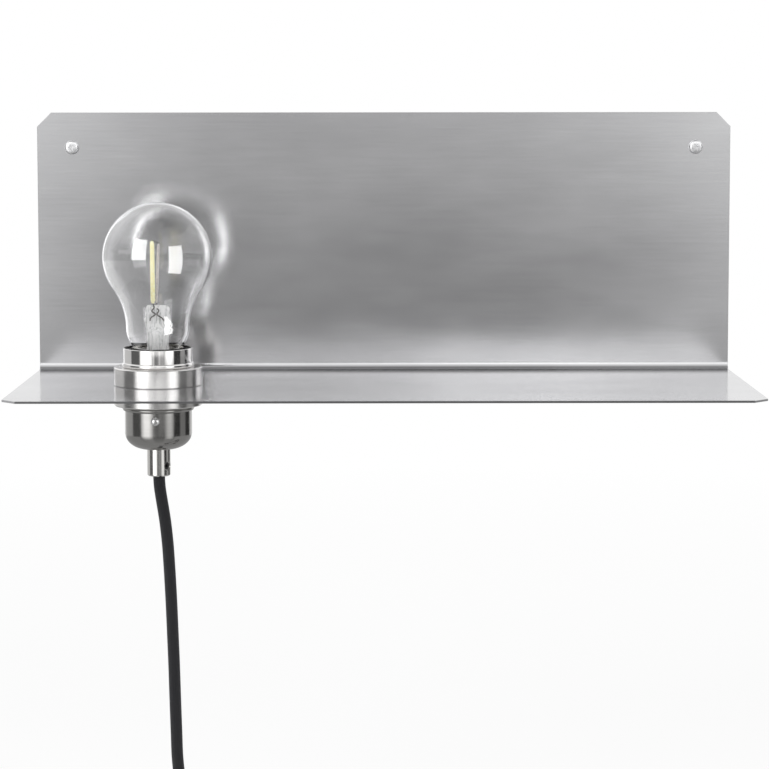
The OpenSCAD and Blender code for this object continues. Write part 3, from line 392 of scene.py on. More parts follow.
def newGroup(name, ins, outs):
    group = bpy.data.node_groups.new(name, "ShaderNodeTree")
    for label, value in ins.items():
        kind = "NodeSocketVector" if isinstance(value, tuple) else "NodeSocketFloat"
        group.interface.new_socket(name=label, in_out="INPUT", socket_type=kind).default_value = value
    for label in outs:
        kind = "NodeSocketVector" if label == "Normal" else "NodeSocketFloat"
        group.interface.new_socket(name=label, in_out="OUTPUT", socket_type=kind)
    return Tree(group), group.nodes.new("NodeGroupInput").outputs, group.nodes.new("NodeGroupOutput")


# Long thin scratches of a brushed sheet, stretched along X, with broad cloudiness
def makeBrushedGrain():
    tree, start, end = newGroup("brushedGrain", {"Lines per mm": 5.0, "Stretch": 0.02, "Depth": 0.1},
                                ["Lines", "Clouds", "Normal"])
    inMm = tree.scaled(tree.place(), 1000.0)
    x, y, z = tree.apart(inMm)
    per = start["Lines per mm"]
    lines = tree.together(tree.times(x, start["Stretch"], per), tree.times(y, per), tree.times(z, per))
    fine = tree.noise(lines, rough=0.6)
    broad = tree.noise(tree.scaled(lines, 0.23), detail=1.0)
    mixed = tree.plus(tree.times(fine, 0.65), tree.times(broad, 0.35))
    clouds = tree.noise(tree.vector("MULTIPLY", inMm, (0.008, 0.02, 0.02)), detail=3.0, rough=0.55)
    bump = tree.bump(start["Depth"], 0.00005, mixed)
    tree.feed(end, {"Lines": mixed, "Clouds": clouds, "Normal": bump})
    return tree.data


# Fine rings left by a lathe on anything turned about the lamp's vertical axis
def makeTurnedRings():
    tree, start, end = newGroup("turnedRings", {"Rings per mm": 8.0, "Depth": 0.1},
                                ["Rings", "Stains", "Normal"])
    inMm = tree.scaled(tree.vector("SUBTRACT", tree.place(), axisPlace), 1000.0)
    x, y, z = tree.apart(inMm)
    per = start["Rings per mm"]
    radius = tree.length(tree.together(x, y))
    fine = tree.noise(tree.together(tree.times(radius, per), tree.times(z, per)), detail=3.0, rough=0.7)
    stains = tree.noise(inMm, scale=0.12, detail=4.0, rough=0.6)
    bump = tree.bump(start["Depth"], 0.00003, fine)
    tree.feed(end, {"Rings": fine, "Stains": stains, "Normal": bump})
    return tree.data


# How near a point is to a sharp edge, broken up so that it is uneven. It marks rubbed wear and also a painted
# edge highlight, where light catches the edges
def makeEdgeWearAndHighlight():
    tree, start, end = newGroup("edgeWearAndHighlight", {"Width": 0.0004, "Amount": 1.0}, ["Mask"])
    rounded = tree.get("Bevel", {"Radius": start["Width"]}, samples=4)
    match = tree.vector("DOT_PRODUCT", rounded, tree.normal(), "Value")
    edge = tree.remap(match, 0.0, 1.0, 0.995, 0.8)
    patches = tree.noise(tree.place(), scale=260.0, detail=3.0)
    uneven = tree.remap(patches, 0.4, 1.0, 0.35, 0.65)
    tree.feed(end, {"Mask": tree.times(edge, uneven, start["Amount"], clamp=True)})
    return tree.data


# Grain of a mould or of a cast skin, with a few lighter specks of dust on what faces up
def makeSkin():
    tree, start, end = newGroup("mouldSkin", {"Scale": 2500.0, "Depth": 0.2, "Dust": 0.2},
                                ["Grain", "Dust", "Normal"])
    place = tree.place()
    grain = tree.noise(place, scale=start["Scale"])
    haze = tree.noise(place, scale=60.0, detail=5.0, rough=0.7)
    lying = tree.remap(tree.apart(tree.normal())[2], 0.2, 1.0, 0.2, 1.0)
    patches = tree.remap(haze, 0.0, 1.0, 0.45, 0.75)
    dust = tree.times(patches, lying, start["Dust"], clamp=True)
    bump = tree.bump(start["Depth"], 0.00005, grain)
    tree.feed(end, {"Grain": grain, "Dust": dust, "Normal": bump})
    return tree.data


# Braid of strands that cross over and under; U runs round the cord, V along it in girths
def makeBraid():
    tree, start, end = newGroup("braidWeave", {"Strands": 16.0, "Depth": 0.6},
                                ["Height", "Over", "Fibre", "Normal"])
    x, y, unused = tree.apart(tree.get("UVMap"))
    u, v = (tree.times(part, start["Strands"]) for part in (x, y))
    right, left = tree.plus(u, v), tree.math("SUBTRACT", u, v)
    bulges = [tree.math("SINE", tree.times(tree.math("FRACT", way), math.pi)) for way in (right, left)]
    cells = tree.plus(tree.math("FLOOR", right), tree.math("FLOOR", left))
    over = tree.math("GREATER_THAN", tree.math("PINGPONG", cells, 1.0), 0.5)
    top, across = tree.blend(over, *bulges), tree.blend(over, *reversed(bulges))
    height = tree.times(top, tree.plus(tree.times(across, 0.55), 0.45))
    fibre = tree.noise(tree.together(tree.times(tree.blend(over, right, left), 7.0), v))
    bump = tree.bump(start["Depth"], 0.0003, tree.plus(height, tree.times(fibre, 0.35)))
    tree.feed(end, {"Height": height, "Over": over, "Fibre": fibre, "Normal": bump})
    return tree.data


axisPlace = (lamp.x * mm, lamp.y * mm, 0)
brushedGrain, turnedRings, edgeWearAndHighlight = makeBrushedGrain(), makeTurnedRings(), makeEdgeWearAndHighlight()
mouldSkin, braidWeave = makeSkin(), makeBraid()
socketNames = {
    "color": "Base Color", "metal": "Metallic", "rough": "Roughness", "ior": "IOR",
    "clear": "Transmission Weight", "coat": "Coat Weight", "sheen": "Sheen Weight",
    "sheenRough": "Sheen Roughness", "sheenTint": "Sheen Tint", "aniso": "Anisotropic",
    "specular": "Specular IOR Level",
}


def startFinish(name, **sockets):
    made = bpy.data.materials.new(name)
    made.use_nodes = True
    shader = made.node_tree.nodes["Principled BSDF"]
    for key, value in sockets.items():
        value = (*value, 1.0) if isinstance(value, tuple) else value
        shader.inputs[socketNames[key]].default_value = value
    return made, Tree(made.node_tree), shader


def grey(level):
    return (level, level, level)


sheet = {
    "width": 400, "top": 20, "under": -130, "depth": 150, "thick": 1.2, "bend": 4, "cornerCut": 8,
    "screwHole": 2.3, "screwX": 180, "lampHole": 17.5, "edgeRound": 0.12, "bendSteps": 20,
    "cutter": 40,
}

sheetFinish = {
    "dark": (0.54, 0.54, 0.55), "light": (0.68, 0.68, 0.69), "wornAndHighlit": (0.80, 0.80, 0.80),
    "rough": (0.145, 0.175), "anisotropic": 0.5, "linesPerMm": 4.5, "depth": 0.03, "wearAndHighlight": 0.15,
    # cut is a dark painted shade for the cut edges; cutRough is their real duller finish
    "lineShare": 0.3, "cloudShare": 0.7, "cut": (0.2, 0.2, 0.205), "cutRough": 0.3, "cutWidth": 0.05,
}


def makeSheetSteel(s):
    made, tree, shader = startFinish("brushedSheetSteel", metal=1.0, aniso=s["anisotropic"])
    grain = tree.use(brushedGrain, {"Lines per mm": s["linesPerMm"], "Depth": s["depth"]})
    wearAndHighlight = tree.use(edgeWearAndHighlight, {"Amount": s["wearAndHighlight"]})[0]
    tone = tree.plus(tree.times(grain["Lines"], s["lineShare"]), tree.times(grain["Clouds"], s["cloudShare"]))
    base = tree.mix(tree.remap(tone, 0.0, 1.0, 0.3, 0.7), s["dark"], s["light"])
    # lighter edges: real rubbed wear together with a painted highlight
    wornAndHighlit = tree.mix(wearAndHighlight, base, s["wornAndHighlit"])
    # laser-cut edges are duller than the faces, and their dark colour is painted shade for the dark line
    # along the edges
    x, y, z = tree.apart(tree.place())
    front = tree.math("LESS_THAN", y, (s["cutWidth"] - sheet["depth"]) * mm)
    sides = tree.math("GREATER_THAN", tree.math("ABSOLUTE", x), (sheet["width"] / 2 - s["cutWidth"]) * mm)
    above = tree.math("GREATER_THAN", z, (sheet["top"] - s["cutWidth"]) * mm)
    cut = tree.most(front, sides, above)
    rough = tree.remap(grain["Clouds"], *s["rough"], 0.3, 0.7)
    tree.feed(shader, {
        "Base Color": tree.mix(cut, wornAndHighlit, s["cut"]), "Roughness": tree.blend(cut, rough, s["cutRough"]),
        "Normal": grain["Normal"],
        "Tangent": tree.get("Tangent", direction_type="UV_MAP", uv_map="UVMap")})
    return made


# inside, if given, is painted shade: a near-black colour laid on what faces the lamp's axis, for the shadowed
# gap inside the collar's rim
def makeTurned(name, dark, light, rough, ringsPerMm, depth, aniso=0.0, inside=None):
    made, tree, shader = startFinish(name, metal=1.0, aniso=aniso)
    rings = tree.use(turnedRings, {"Rings per mm": ringsPerMm, "Depth": depth})
    wearAndHighlight = tree.use(edgeWearAndHighlight, {"Width": 0.0003, "Amount": 0.5})[0]
    base = tree.mix(tree.remap(rings["Rings"], 0.0, 1.0, 0.3, 0.7), dark, light)
    # lighter edges: real rubbed wear together with a painted highlight
    base = tree.mix(wearAndHighlight, base, grey(0.9))
    if inside:
        fromAxis = tree.vector("MULTIPLY", tree.vector("SUBTRACT", tree.place(), axisPlace), (1, 1, 0))
        facing = tree.vector("DOT_PRODUCT", fromAxis, tree.normal(), "Value")
        # painted shade on the faces turned towards the axis
        base = tree.mix(tree.math("LESS_THAN", facing, -0.004), base, inside)
    tree.feed(shader, {"Base Color": base, "Roughness": tree.remap(rings["Stains"], *rough, 0.35, 0.65),
                       "Normal": rings["Normal"]})
    if aniso:
        tree.feed(shader, {"Anisotropic Rotation": 0.25,
                           "Tangent": tree.get("Tangent", direction_type="RADIAL", axis="Z")})
    return made


def makeStamped(name, dark, light, rough, metal=1.0, scale=2500.0, depth=0.15, dust=0.0, wearTo=None, **more):
    made, tree, shader = startFinish(name, metal=metal, **more)
    skin = tree.use(mouldSkin, {"Scale": scale, "Depth": depth, "Dust": dust})
    base = tree.mix(tree.remap(skin["Grain"], 0.0, 1.0, 0.3, 0.7), dark, light)
    if wearTo:
        # lighter edges: real rubbed wear together with a painted highlight
        base = tree.mix(tree.use(edgeWearAndHighlight, {"Amount": 0.5})[0], base, wearTo)
    base = tree.mix(skin["Dust"], base, (0.45, 0.44, 0.42))
    tree.feed(shader, {"Base Color": base, "Roughness": tree.remap(skin["Grain"], *rough, 0.3, 0.7),
                       "Normal": skin["Normal"]})
    return made


# What is moulded, fired, sheathed or lacquered, and no bare metal
def makeMoulded(name, dark, light, rough, **more):
    return makeStamped(name, dark, light, rough, metal=0.0, **more)


def makeGlass(name, waves):
    made, tree, shader = startFinish(name, color=grey(1.0), clear=1.0, ior=1.5, rough=0.0)
    skin = tree.use(mouldSkin, {"Scale": 60.0, "Depth": waves, "Dust": 0.0})
    tree.feed(shader, {"Normal": skin["Normal"]})
    return made


# Drawn and pressed glass, full of upright streaks; the bright ones in its colour are painted highlights
streakHighlights = {
    "clear": 0.22, "perMetre": (1500, 1500, 110), "dull": (0.52, 0.53, 0.53), "bright": (1.0, 1.0, 1.0),
    "relief": 0.4,
}


def makeHighlightStreakGlass(s):
    made, tree, shader = startFinish("stemGlass", clear=s["clear"], ior=1.5, rough=0.0)
    lines = tree.noise(tree.vector("MULTIPLY", tree.place(), s["perMetre"]), rough=0.6)
    # painted highlights: streaks of near-white colour along the stem
    color = tree.mix(tree.remap(lines, 0.0, 1.0, 0.34, 0.50), s["dull"], s["bright"])
    tree.feed(shader, {"Base Color": color, "Normal": tree.bump(s["relief"], 0.0002, lines)})
    return made


braidFinish = {"gap": (0.004, 0.004, 0.005), "thread": (0.030, 0.030, 0.033), "strands": 16.0, "depth": 0.8}


def makeTextile(s):
    made, tree, shader = startFinish("blackBraid", sheen=0.25, sheenRough=0.5, specular=0.3,
                                     sheenTint=(0.6, 0.6, 0.65))
    weave = tree.use(braidWeave, {"Strands": s["strands"], "Depth": s["depth"]})
    # painted shade: the weave's colour darkens towards its low points between the strands
    lit = tree.times(weave["Height"], tree.remap(weave["Fibre"], 0.55, 1.1), clamp=True)
    tree.feed(shader, {"Base Color": tree.mix(lit, s["gap"], s["thread"]),
                       "Roughness": tree.remap(weave["Over"], 0.62, 0.78), "Normal": weave["Normal"]})
    return made


earthStripes = {"green": (0.07, 0.30, 0.08), "yellow": (0.75, 0.62, 0.05), "perMetre": 2600.0}


def makeEarthCore(s):
    made, tree, shader = startFinish("greenYellowCore", rough=0.45)
    skin = tree.use(mouldSkin, {"Scale": 900.0, "Depth": 0.05, "Dust": 0.0})
    x, y, z = tree.apart(tree.place())
    stripe = tree.math("GREATER_THAN", tree.math("SINE", tree.times(tree.plus(x, z), s["perMetre"])), 0.1)
    tree.feed(shader, {"Base Color": tree.mix(stripe, s["green"], s["yellow"]), "Normal": skin["Normal"]})
    return made


# Dark and light tone, then the range of roughness
finishes = {
    "sheetSteel": makeSheetSteel(sheetFinish),
    "ringMetal": makeTurned("turnedNickel", (0.66, 0.65, 0.64), (0.78, 0.77, 0.76), (0.20, 0.27),
                            5.0, 0.04, aniso=0.3),
    # the collar's inner wall gets painted shade, near black
    "collarMetal": makeTurned("polishedNickel", (0.68, 0.67, 0.66), (0.78, 0.77, 0.76), (0.06, 0.11),
                              5.0, 0.03, inside=grey(0.03)),
    "capMetal": makeTurned("spunNickel", (0.33, 0.325, 0.315), (0.40, 0.395, 0.385), (0.13, 0.19), 4.0, 0.02),
    "gripMetal": makeTurned("gripNickel", (0.62, 0.61, 0.59), (0.76, 0.75, 0.73), (0.10, 0.18), 6.0, 0.06),
    "screwMetal": makeStamped("zincScrew", grey(0.60), (0.78, 0.78, 0.79), (0.18, 0.34), wearTo=grey(0.9)),
    "polishedScrew": makeStamped("polishedScrew", grey(0.80), grey(0.92), (0.10, 0.20), depth=0.05),
    "panHead": makeStamped("panHeadSteel", (0.74, 0.74, 0.75), (0.90, 0.90, 0.91), (0.26, 0.40),
                           scale=1400.0, depth=0.3),
    "leadWire": makeStamped("leadWire", (0.16, 0.155, 0.14), (0.26, 0.25, 0.23), (0.2, 0.35)),
    "brass": makeStamped("stampedBrass", (0.62, 0.44, 0.18), (0.80, 0.62, 0.30), (0.2, 0.35),
                         wearTo=(0.95, 0.8, 0.5)),
    "plating": makeStamped("platedBrass", (0.62, 0.61, 0.57), (0.76, 0.74, 0.70), (0.12, 0.22),
                           wearTo=(0.9, 0.88, 0.8)),
    "solder": makeStamped("tinnedContact", (0.48, 0.48, 0.47), (0.66, 0.66, 0.64), (0.25, 0.45),
                          scale=1200.0, depth=0.5),
    "blackScrew": makeMoulded("blackSteel", (0.015, 0.015, 0.016), grey(0.03), (0.3, 0.5)),
    "porcelain": makeMoulded("glazedPorcelain", (0.82, 0.80, 0.75), (0.90, 0.88, 0.84), (0.10, 0.20),
                             depth=0.03, coat=0.5),
    "liner": makeMoulded("linerBakelite", (0.012, 0.012, 0.013), (0.025, 0.025, 0.026), (0.25, 0.4),
                         dust=0.05),
    "blackGlass": makeMoulded("insulatorGlass", (0.008, 0.008, 0.012), (0.02, 0.02, 0.028), (0.04, 0.12),
                              depth=0.03, coat=0.4),
    "plastic": makeMoulded("satinPlastic", (0.010, 0.010, 0.011), (0.020, 0.020, 0.021), (0.28, 0.42),
                           scale=3200.0, depth=0.25, dust=0.10, wearTo=grey(0.06)),
    "rubber": makeMoulded("blackRubber", grey(0.012), grey(0.024), (0.5, 0.66),
                          scale=1800.0, depth=0.35, dust=0.16, wearTo=grey(0.05)),
    "board": makeMoulded("lacqueredBoard", (0.02, 0.12, 0.05), (0.04, 0.20, 0.08), (0.25, 0.4), scale=900.0),
    "brownCore": makeMoulded("brownCore", (0.14, 0.055, 0.02), (0.20, 0.08, 0.03), (0.35, 0.5),
                             scale=900.0, depth=0.05),
    "blueCore": makeMoulded("blueCore", (0.02, 0.08, 0.34), (0.04, 0.12, 0.45), (0.35, 0.5),
                            scale=900.0, depth=0.05),
    "earthCore": makeEarthCore(earthStripes),
    "bulbGlass": makeGlass("clearBulbGlass", waves=0.015),
    "stemGlass": makeHighlightStreakGlass(streakHighlights),
    "phosphor": makeMoulded("yellowPhosphor", (0.94, 0.87, 0.42), (1.0, 0.99, 0.72), (0.35, 0.5),
                            scale=1100.0),
    # the rear filament has the same phosphor, painted darker and greyer as shade
    "phosphorShaded": makeMoulded("shadedPhosphor", (0.42, 0.39, 0.40), (0.74, 0.70, 0.68), (0.35, 0.5),
                                scale=1100.0),
    "braid": makeTextile(braidFinish),
}

nodeFinishes = {
    "ringMetal": ["shade_ring_upper", "shade_ring_lower"],
    "gripMetal": ["cord_grip"],
    "blackScrew": ["grip_set_screw"],
    "screwMetal": ["nipple_nut", "terminal_screws", "earth_screw", "switch_screws"],
    "brass": ["threaded_nipple", "contact_sleeve", "centre_contact", "side_contact", "terminal_live",
              "terminal_neutral", "earth_tag", "switch_seesaw", "switch_contacts"],
    "liner": ["holder_liner"],
    "porcelain": ["contact_block"],
    "brownCore": ["core_live"],
    "blueCore": ["core_neutral", "switch_cores"],
    "earthCore": ["core_earth"],
    "blackGlass": ["bulb_cap_insulator"],
    "solder": ["bulb_tip_contact"],
    "board": ["driver_board"],
    "plastic": ["switch_lower_housing", "switch_upper_housing", "switch_rocker"],
    "rubber": ["switch_sleeve_in", "switch_sleeve_out", "plug_body", "plug_relief", "coil_tie"],
    "plating": ["plug_pins", "plug_earth_clips"],
}


def dress(piece, finish):
    piece.data.materials.clear()
    piece.data.materials.append(finishes[finish])


for piece in (cordDrop, cordLead):
    dress(piece, "braid")
for finish, names in nodeFinishes.items():
    for name in names:
        materials = nodes[name].data.materials
        if len(materials) == 0:
            materials.append(finishes[finish])
        for i in range(len(materials)):
            materials[i] = finishes[finish]
print("finishes ready")


# Steel sheet
def makeSheet(s):
    t, outer, halfWidth = s["thick"], s["bend"] + s["thick"], s["width"] / 2
    profile = [(0, s["top"])] + arc(-outer, s["under"] + outer, outer, 0, -90, s["bendSteps"])
    profile += [(-s["depth"], s["under"]), (-s["depth"], s["under"] + t)]
    profile += arc(-outer, s["under"] + outer, s["bend"], -90, 0, s["bendSteps"]) + [(-t, s["top"])]
    ends = [[Vector((x, y, z)) * mm for y, z in profile] for x in (-halfWidth, halfWidth)]
    piece = skin("steelSheet", ends)
    side, long = s["cornerCut"] * math.sqrt(2), s["cutter"]
    knives = []
    for x in (-1, 1):
        knives.append(block("knife", (side, long, side), (x * halfWidth, 0, s["top"]), 45, "Y"))
        knives.append(block("knife", (side, side, long), (x * halfWidth, -s["depth"], s["under"] + t), 45))
        hole = drill(s["screwHole"], Vector((0, 0, 0)), 64)
        place = Matrix.Translation((x * s["screwX"] * mm, 0, 0))
        hole.data.transform(place @ Matrix.Rotation(math.pi / 2, 4, "X"))
        knives.append(hole)
    carve(piece, knives + [drill(s["lampHole"], lamp, 96)])
    bevel = piece.modifiers.new("edge", "BEVEL")
    bevel.width, bevel.segments, bevel.limit_method = s["edgeRound"] * mm, 2, "ANGLE"
    bevel.angle_limit = math.radians(40)
    bevel.harden_normals = False
    piece.modifiers.new("normals", "WEIGHTED_NORMAL").keep_sharp = True
    applyModifiers(piece)
    # U follows the plate's height and the shelf's depth, across the brushed lines, and V follows them
    uv = piece.data.uv_layers.new(name="UVMap") if not piece.data.uv_layers else piece.data.uv_layers[0]
    for loop in piece.data.loops:
        p = piece.data.vertices[loop.vertex_index].co
        uv.data[loop.index].uv = (p.z * 2.0 - p.y * 2.0, p.x * 2.0 + (p.y + p.z) * 0.01)
    return piece


steelSheet = makeSheet(sheet)
dress(steelSheet, "sheetSteel")
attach(steelSheet, "root")
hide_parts("shelf_plate")
print("sheet ready")


# Wall screws
wallScrew = {
    "head": 4.0, "headHeight": 2.4, "edge": 0.15, "neck": 1.45, "shank": 2.0, "core": 1.45, "pitch": 1.8,
    "free": 28, "tip": 4, "point": 0.12, "runout": 0.2, "sharp": 1.6, "rowsPerMm": 7, "sides": 40,
    "recess": 1.15, "lobe": 0.75, "lobes": 6, "recessDepth": 1.2, "recessSides": 96,
}


# Radius of a thread at height z and angle a, between core and crest; above 1, sharp makes the
# ridges narrow and pointed
def threadRadius(core, crest, pitch, z, a, sharp=1.0):
    phase = (z / pitch - a / (2 * math.pi)) % 1.0
    ridge = max(0.0, 1 - abs(phase - 0.5) * 2 * sharp)
    return core + (crest - core) * (ridge if sharp > 1 else math.sin(math.pi * phase) ** 2)


# The screw stands along +Z from its head's seat at 0: the head above, the shank below
def makeWallScrew(name, s, x):
    long = s["free"] + s["tip"]
    end = -sheet["thick"] - long
    count = int(long * s["rowsPerMm"])
    rows = [(0, end)] + [(s["shank"], end + long * i / count) for i in range(1, count + 1)]
    neckAt = len(rows)
    rows += [(s["neck"], end + long), (s["neck"], 0), (s["head"] - s["edge"], 0), (s["head"], s["edge"])]
    rows += arc(s["head"] * 0.62, s["headHeight"] * 0.35, s["head"] * 0.38, 0, 86, 12, s["headHeight"] * 0.61)
    rows += [(0, s["headHeight"])]

    def wave(k, a, z):
        if k >= neckAt or z > -sheet["thick"] - s["runout"]:
            return 0
        fade = min(1.0, (z - end) / s["tip"])
        outer = s["shank"] * max(s["point"], math.sin(fade * math.pi / 2))
        inner = outer * s["core"] / s["shank"]
        return threadRadius(inner, outer, s["pitch"], z, a, s["sharp"]) - s["shank"]

    screw = revolve(name, rows, Vector((0, 0, 0)), s["sides"], closed=False, wave=wave)
    outline = []
    for i in range(s["recessSides"]):
        a = 2 * math.pi * i / s["recessSides"]
        r = (s["recess"] + s["lobe"] * (0.5 + 0.5 * math.cos(s["lobes"] * a))) * mm
        outline.append((r * math.cos(a), r * math.sin(a)))
    heights = (s["headHeight"] - s["recessDepth"], s["headHeight"] + 1)
    carve(screw, [skin("knife", [[(px, py, z * mm) for px, py in outline] for z in heights])])
    place = Matrix.Translation((x * mm, -sheet["thick"] * mm, 0))
    screw.data.transform(place @ Matrix.Rotation(math.pi / 2, 4, "X"))
    return screw


for name, node, x in (("wallScrewLeft", "wall_screw_left", -sheet["screwX"]),
                      ("wallScrewRight", "wall_screw_right", sheet["screwX"])):
    screw = makeWallScrew(name, wallScrew, x)
    dress(screw, "panHead")
    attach(screw, "root")
    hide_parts(node)
print("wall screws ready")


# Lampholder shell, cap and screws
holder = {
    "barrel": 17.3, "inner": 16.3, "collar": 19.0, "bead": 0.75, "beadHeight": 2.6,
    "ringTop": 10.0, "rim": 20.4, "step": 11.2, "low": -22.0, "collarWall": 0.8,
    "capOut": 18.4, "capTop": -11.5, "capLow": -35.5, "capWall": 1.0, "roundH": 9.0, "roundW": 11.5,
    "nippleHole": 5.1,
}


def makeShell(h):
    lip = h["collarWall"] / 2
    rows = [(h["barrel"], h["low"]), (h["barrel"], h["ringTop"]), (h["collar"], h["ringTop"])]
    rows += arc(h["collar"], h["ringTop"] + h["beadHeight"] / 2, h["bead"], -90, 90, 14, h["beadHeight"] / 2)
    rows += arc(h["collar"] - lip, h["rim"] - lip, lip, 0, 180, 12)
    rows += [(h["collar"] - h["collarWall"], h["step"]), (h["inner"], h["step"]), (h["inner"], h["low"])]
    return revolve("holderShell", rows, steps=160)


def makeCap(h):
    straight = h["capLow"] + h["roundH"]
    inner = h["capOut"] - h["capWall"]
    beadOut = h["collar"] + h["bead"] - h["capOut"]
    rows = [(inner, h["capTop"]), (h["capOut"], h["capTop"])]
    rows += arc(h["capOut"], h["capTop"] - h["beadHeight"] / 2, beadOut, 90, -90, 20, h["beadHeight"] / 2)
    rows += arc(h["capOut"] - h["roundW"], straight, h["roundW"], 0, -90, 40, h["roundH"])
    rows += [(h["nippleHole"], h["capLow"]), (h["nippleHole"], h["capLow"] + h["capWall"])]
    rows += arc(h["capOut"] - h["roundW"], straight, h["roundW"] - h["capWall"], -90, 0, 40,
                h["roundH"] - h["capWall"])
    return revolve("holderCap", rows, steps=160)


lockScrew = {
    "head": 2.45, "height": 1.6, "shank": 1.4, "z": -18.2, "seat": 18.5, "inner": 16.35,
    "slot": 0.95, "slotTurn": 82, "slotDepth": 1.1,
}


# Made along +Z from the lamp's axis, then laid to the front
def makeLockScrew(s):
    rows = [(0, s["inner"]), (s["shank"], s["inner"]), (s["shank"], s["seat"]), (s["head"] - 0.1, s["seat"]),
            (s["head"], s["seat"] + 0.1)]
    rows += arc(0, s["seat"] + 0.2, s["head"], 8, 90, 14, s["height"] - 0.2)
    screw = revolve("capLockScrew", rows, Vector((0, 0, 0)), 48, closed=False)
    carve(screw, [block("knife", (8, s["slot"], 2), (0, 0, s["seat"] + s["height"] + 1 - s["slotDepth"]))])
    screw.data.transform(Matrix.Translation((lamp + Vector((0, 0, s["z"]))) * mm)
                         @ Matrix.Rotation(math.pi / 2, 4, "X")
                         @ Matrix.Rotation(math.radians(s["slotTurn"]), 4, "Z"))
    return screw


for piece, finish, node, slot in (
        (makeShell(holder), "collarMetal", "holder_shell", "ring_nickel"),
        (makeCap(holder), "capMetal", "holder_cap", "cap_nickel"),
        (makeLockScrew(lockScrew), "polishedScrew", "cap_lock_screw", "screw_steel")):
    dress(piece, finish)
    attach(piece, "root")
    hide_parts(node)
print("lampholder ready")


# Bulb
bulb = {
    "tip": -5.8, "capHeight": 26.3, "capRadius": 13.1, "length": 106, "globe": 30, "neck": 17.4,
    "neckEnd": 13.0, "neckRise": 10.4, "wall": 0.8, "pitch": 3.629, "threadDepth": 0.75,
    "stemHeight": 23.5, "stemSunk": 8.6, "tipHeight": 5.3, "baseHole": 11.4, "flare": 0.8, "metal": 0.3,
    "belowThread": 0.8, "aboveThread": 2.2, "threadFade": 1.5,
}
bulbRim = bulb["tip"] + bulb["capHeight"]
stemLow = bulbRim - bulb["stemSunk"]
pressTop = bulbRim + bulb["stemHeight"]
filamentLow = pressTop + 1


# The glass from its top down to the cap's rim: globe, waist and neck, each tangent to the next
def bulbOutline(b, inset):
    globeZ = b["tip"] + b["length"] - b["globe"]
    neckZ = bulbRim + b["neckRise"]
    hollow = ((globeZ - neckZ) ** 2 + b["neck"] ** 2 - b["globe"] ** 2) / (2 * (b["globe"] - b["neck"]))
    down = math.degrees(math.asin((globeZ - neckZ) / (b["globe"] + hollow)))
    low, narrow = neckZ - bulbRim, b["neck"] - b["neckEnd"]
    rounded = (low * low + narrow * narrow) / (2 * narrow)
    rows = [(max(r, 0.0), z) for r, z in arc(0, globeZ, b["globe"] - inset, 90, -down, 72)]
    rows[0] = (0.0, rows[0][1])
    rows += arc(b["neck"] + hollow, neckZ, hollow + inset, 180 - down, 180, 30)[1:]
    rows += arc(b["neck"] - rounded, neckZ, rounded - inset, -3, -math.degrees(math.asin(low / rounded)), 20)
    return rows


def makeBulbGlass(b):
    root = b["capRadius"] - 0.6
    outside, inside = bulbOutline(b, 0), bulbOutline(b, b["wall"])
    rows = outside + [(root, bulbRim - 0.6), (root, stemLow), (root - b["wall"], stemLow),
                      (root - b["wall"], bulbRim - 0.4)] + inside[::-1]
    return revolve("bulbGlass", rows, steps=160, closed=False, sharpAngle=50)


# Rolled screw cap: plain rim, round thread and a turned-in base
def makeBulbCap(b):
    wall, out = b["metal"], b["capRadius"]
    base = b["tip"] + b["tipHeight"]
    low, high = base + b["belowThread"], bulbRim - b["aboveThread"]
    rows = [(b["baseHole"], base), (out - 0.5, base)]
    first, count = len(rows), 84
    rows += [(out, low + (high - low) * i / count) for i in range(count + 1)]
    last = len(rows)
    rows += [(out, bulbRim - 1.2), (out + b["flare"], bulbRim - 0.9), (out + b["flare"], bulbRim),
             (out + b["flare"] - wall, bulbRim), (out + b["flare"] - wall, bulbRim - 0.6),
             (out - wall - 0.9, bulbRim - 1.0), (out - wall - 0.9, base + wall), (b["baseHole"], base + wall)]

    def wave(k, a, z):
        if not first <= k < last:
            return 0
        fade = min(1.0, (z - low) / b["threadFade"], (high - z) / b["threadFade"])
        return threadRadius(-b["threadDepth"], 0, b["pitch"], z, a) * max(fade, 0)

    return revolve("bulbScrewCap", rows, steps=120, closed=True, wave=wave)


stem = {
    "flare": 11.6, "tube": 6.0, "wall": 0.8, "flute": 0.16, "exhaust": 2.0, "exhaustBore": 1.3,
    "pressWidth": 14.4, "pressThick": 5.0, "pressHeight": 11, "crumple": 0.2, "corner": 0.75,
    "squareness": 2.6, "shoulder": 0.22, "narrowing": 0.12, "around": 64, "rows": 30,
}


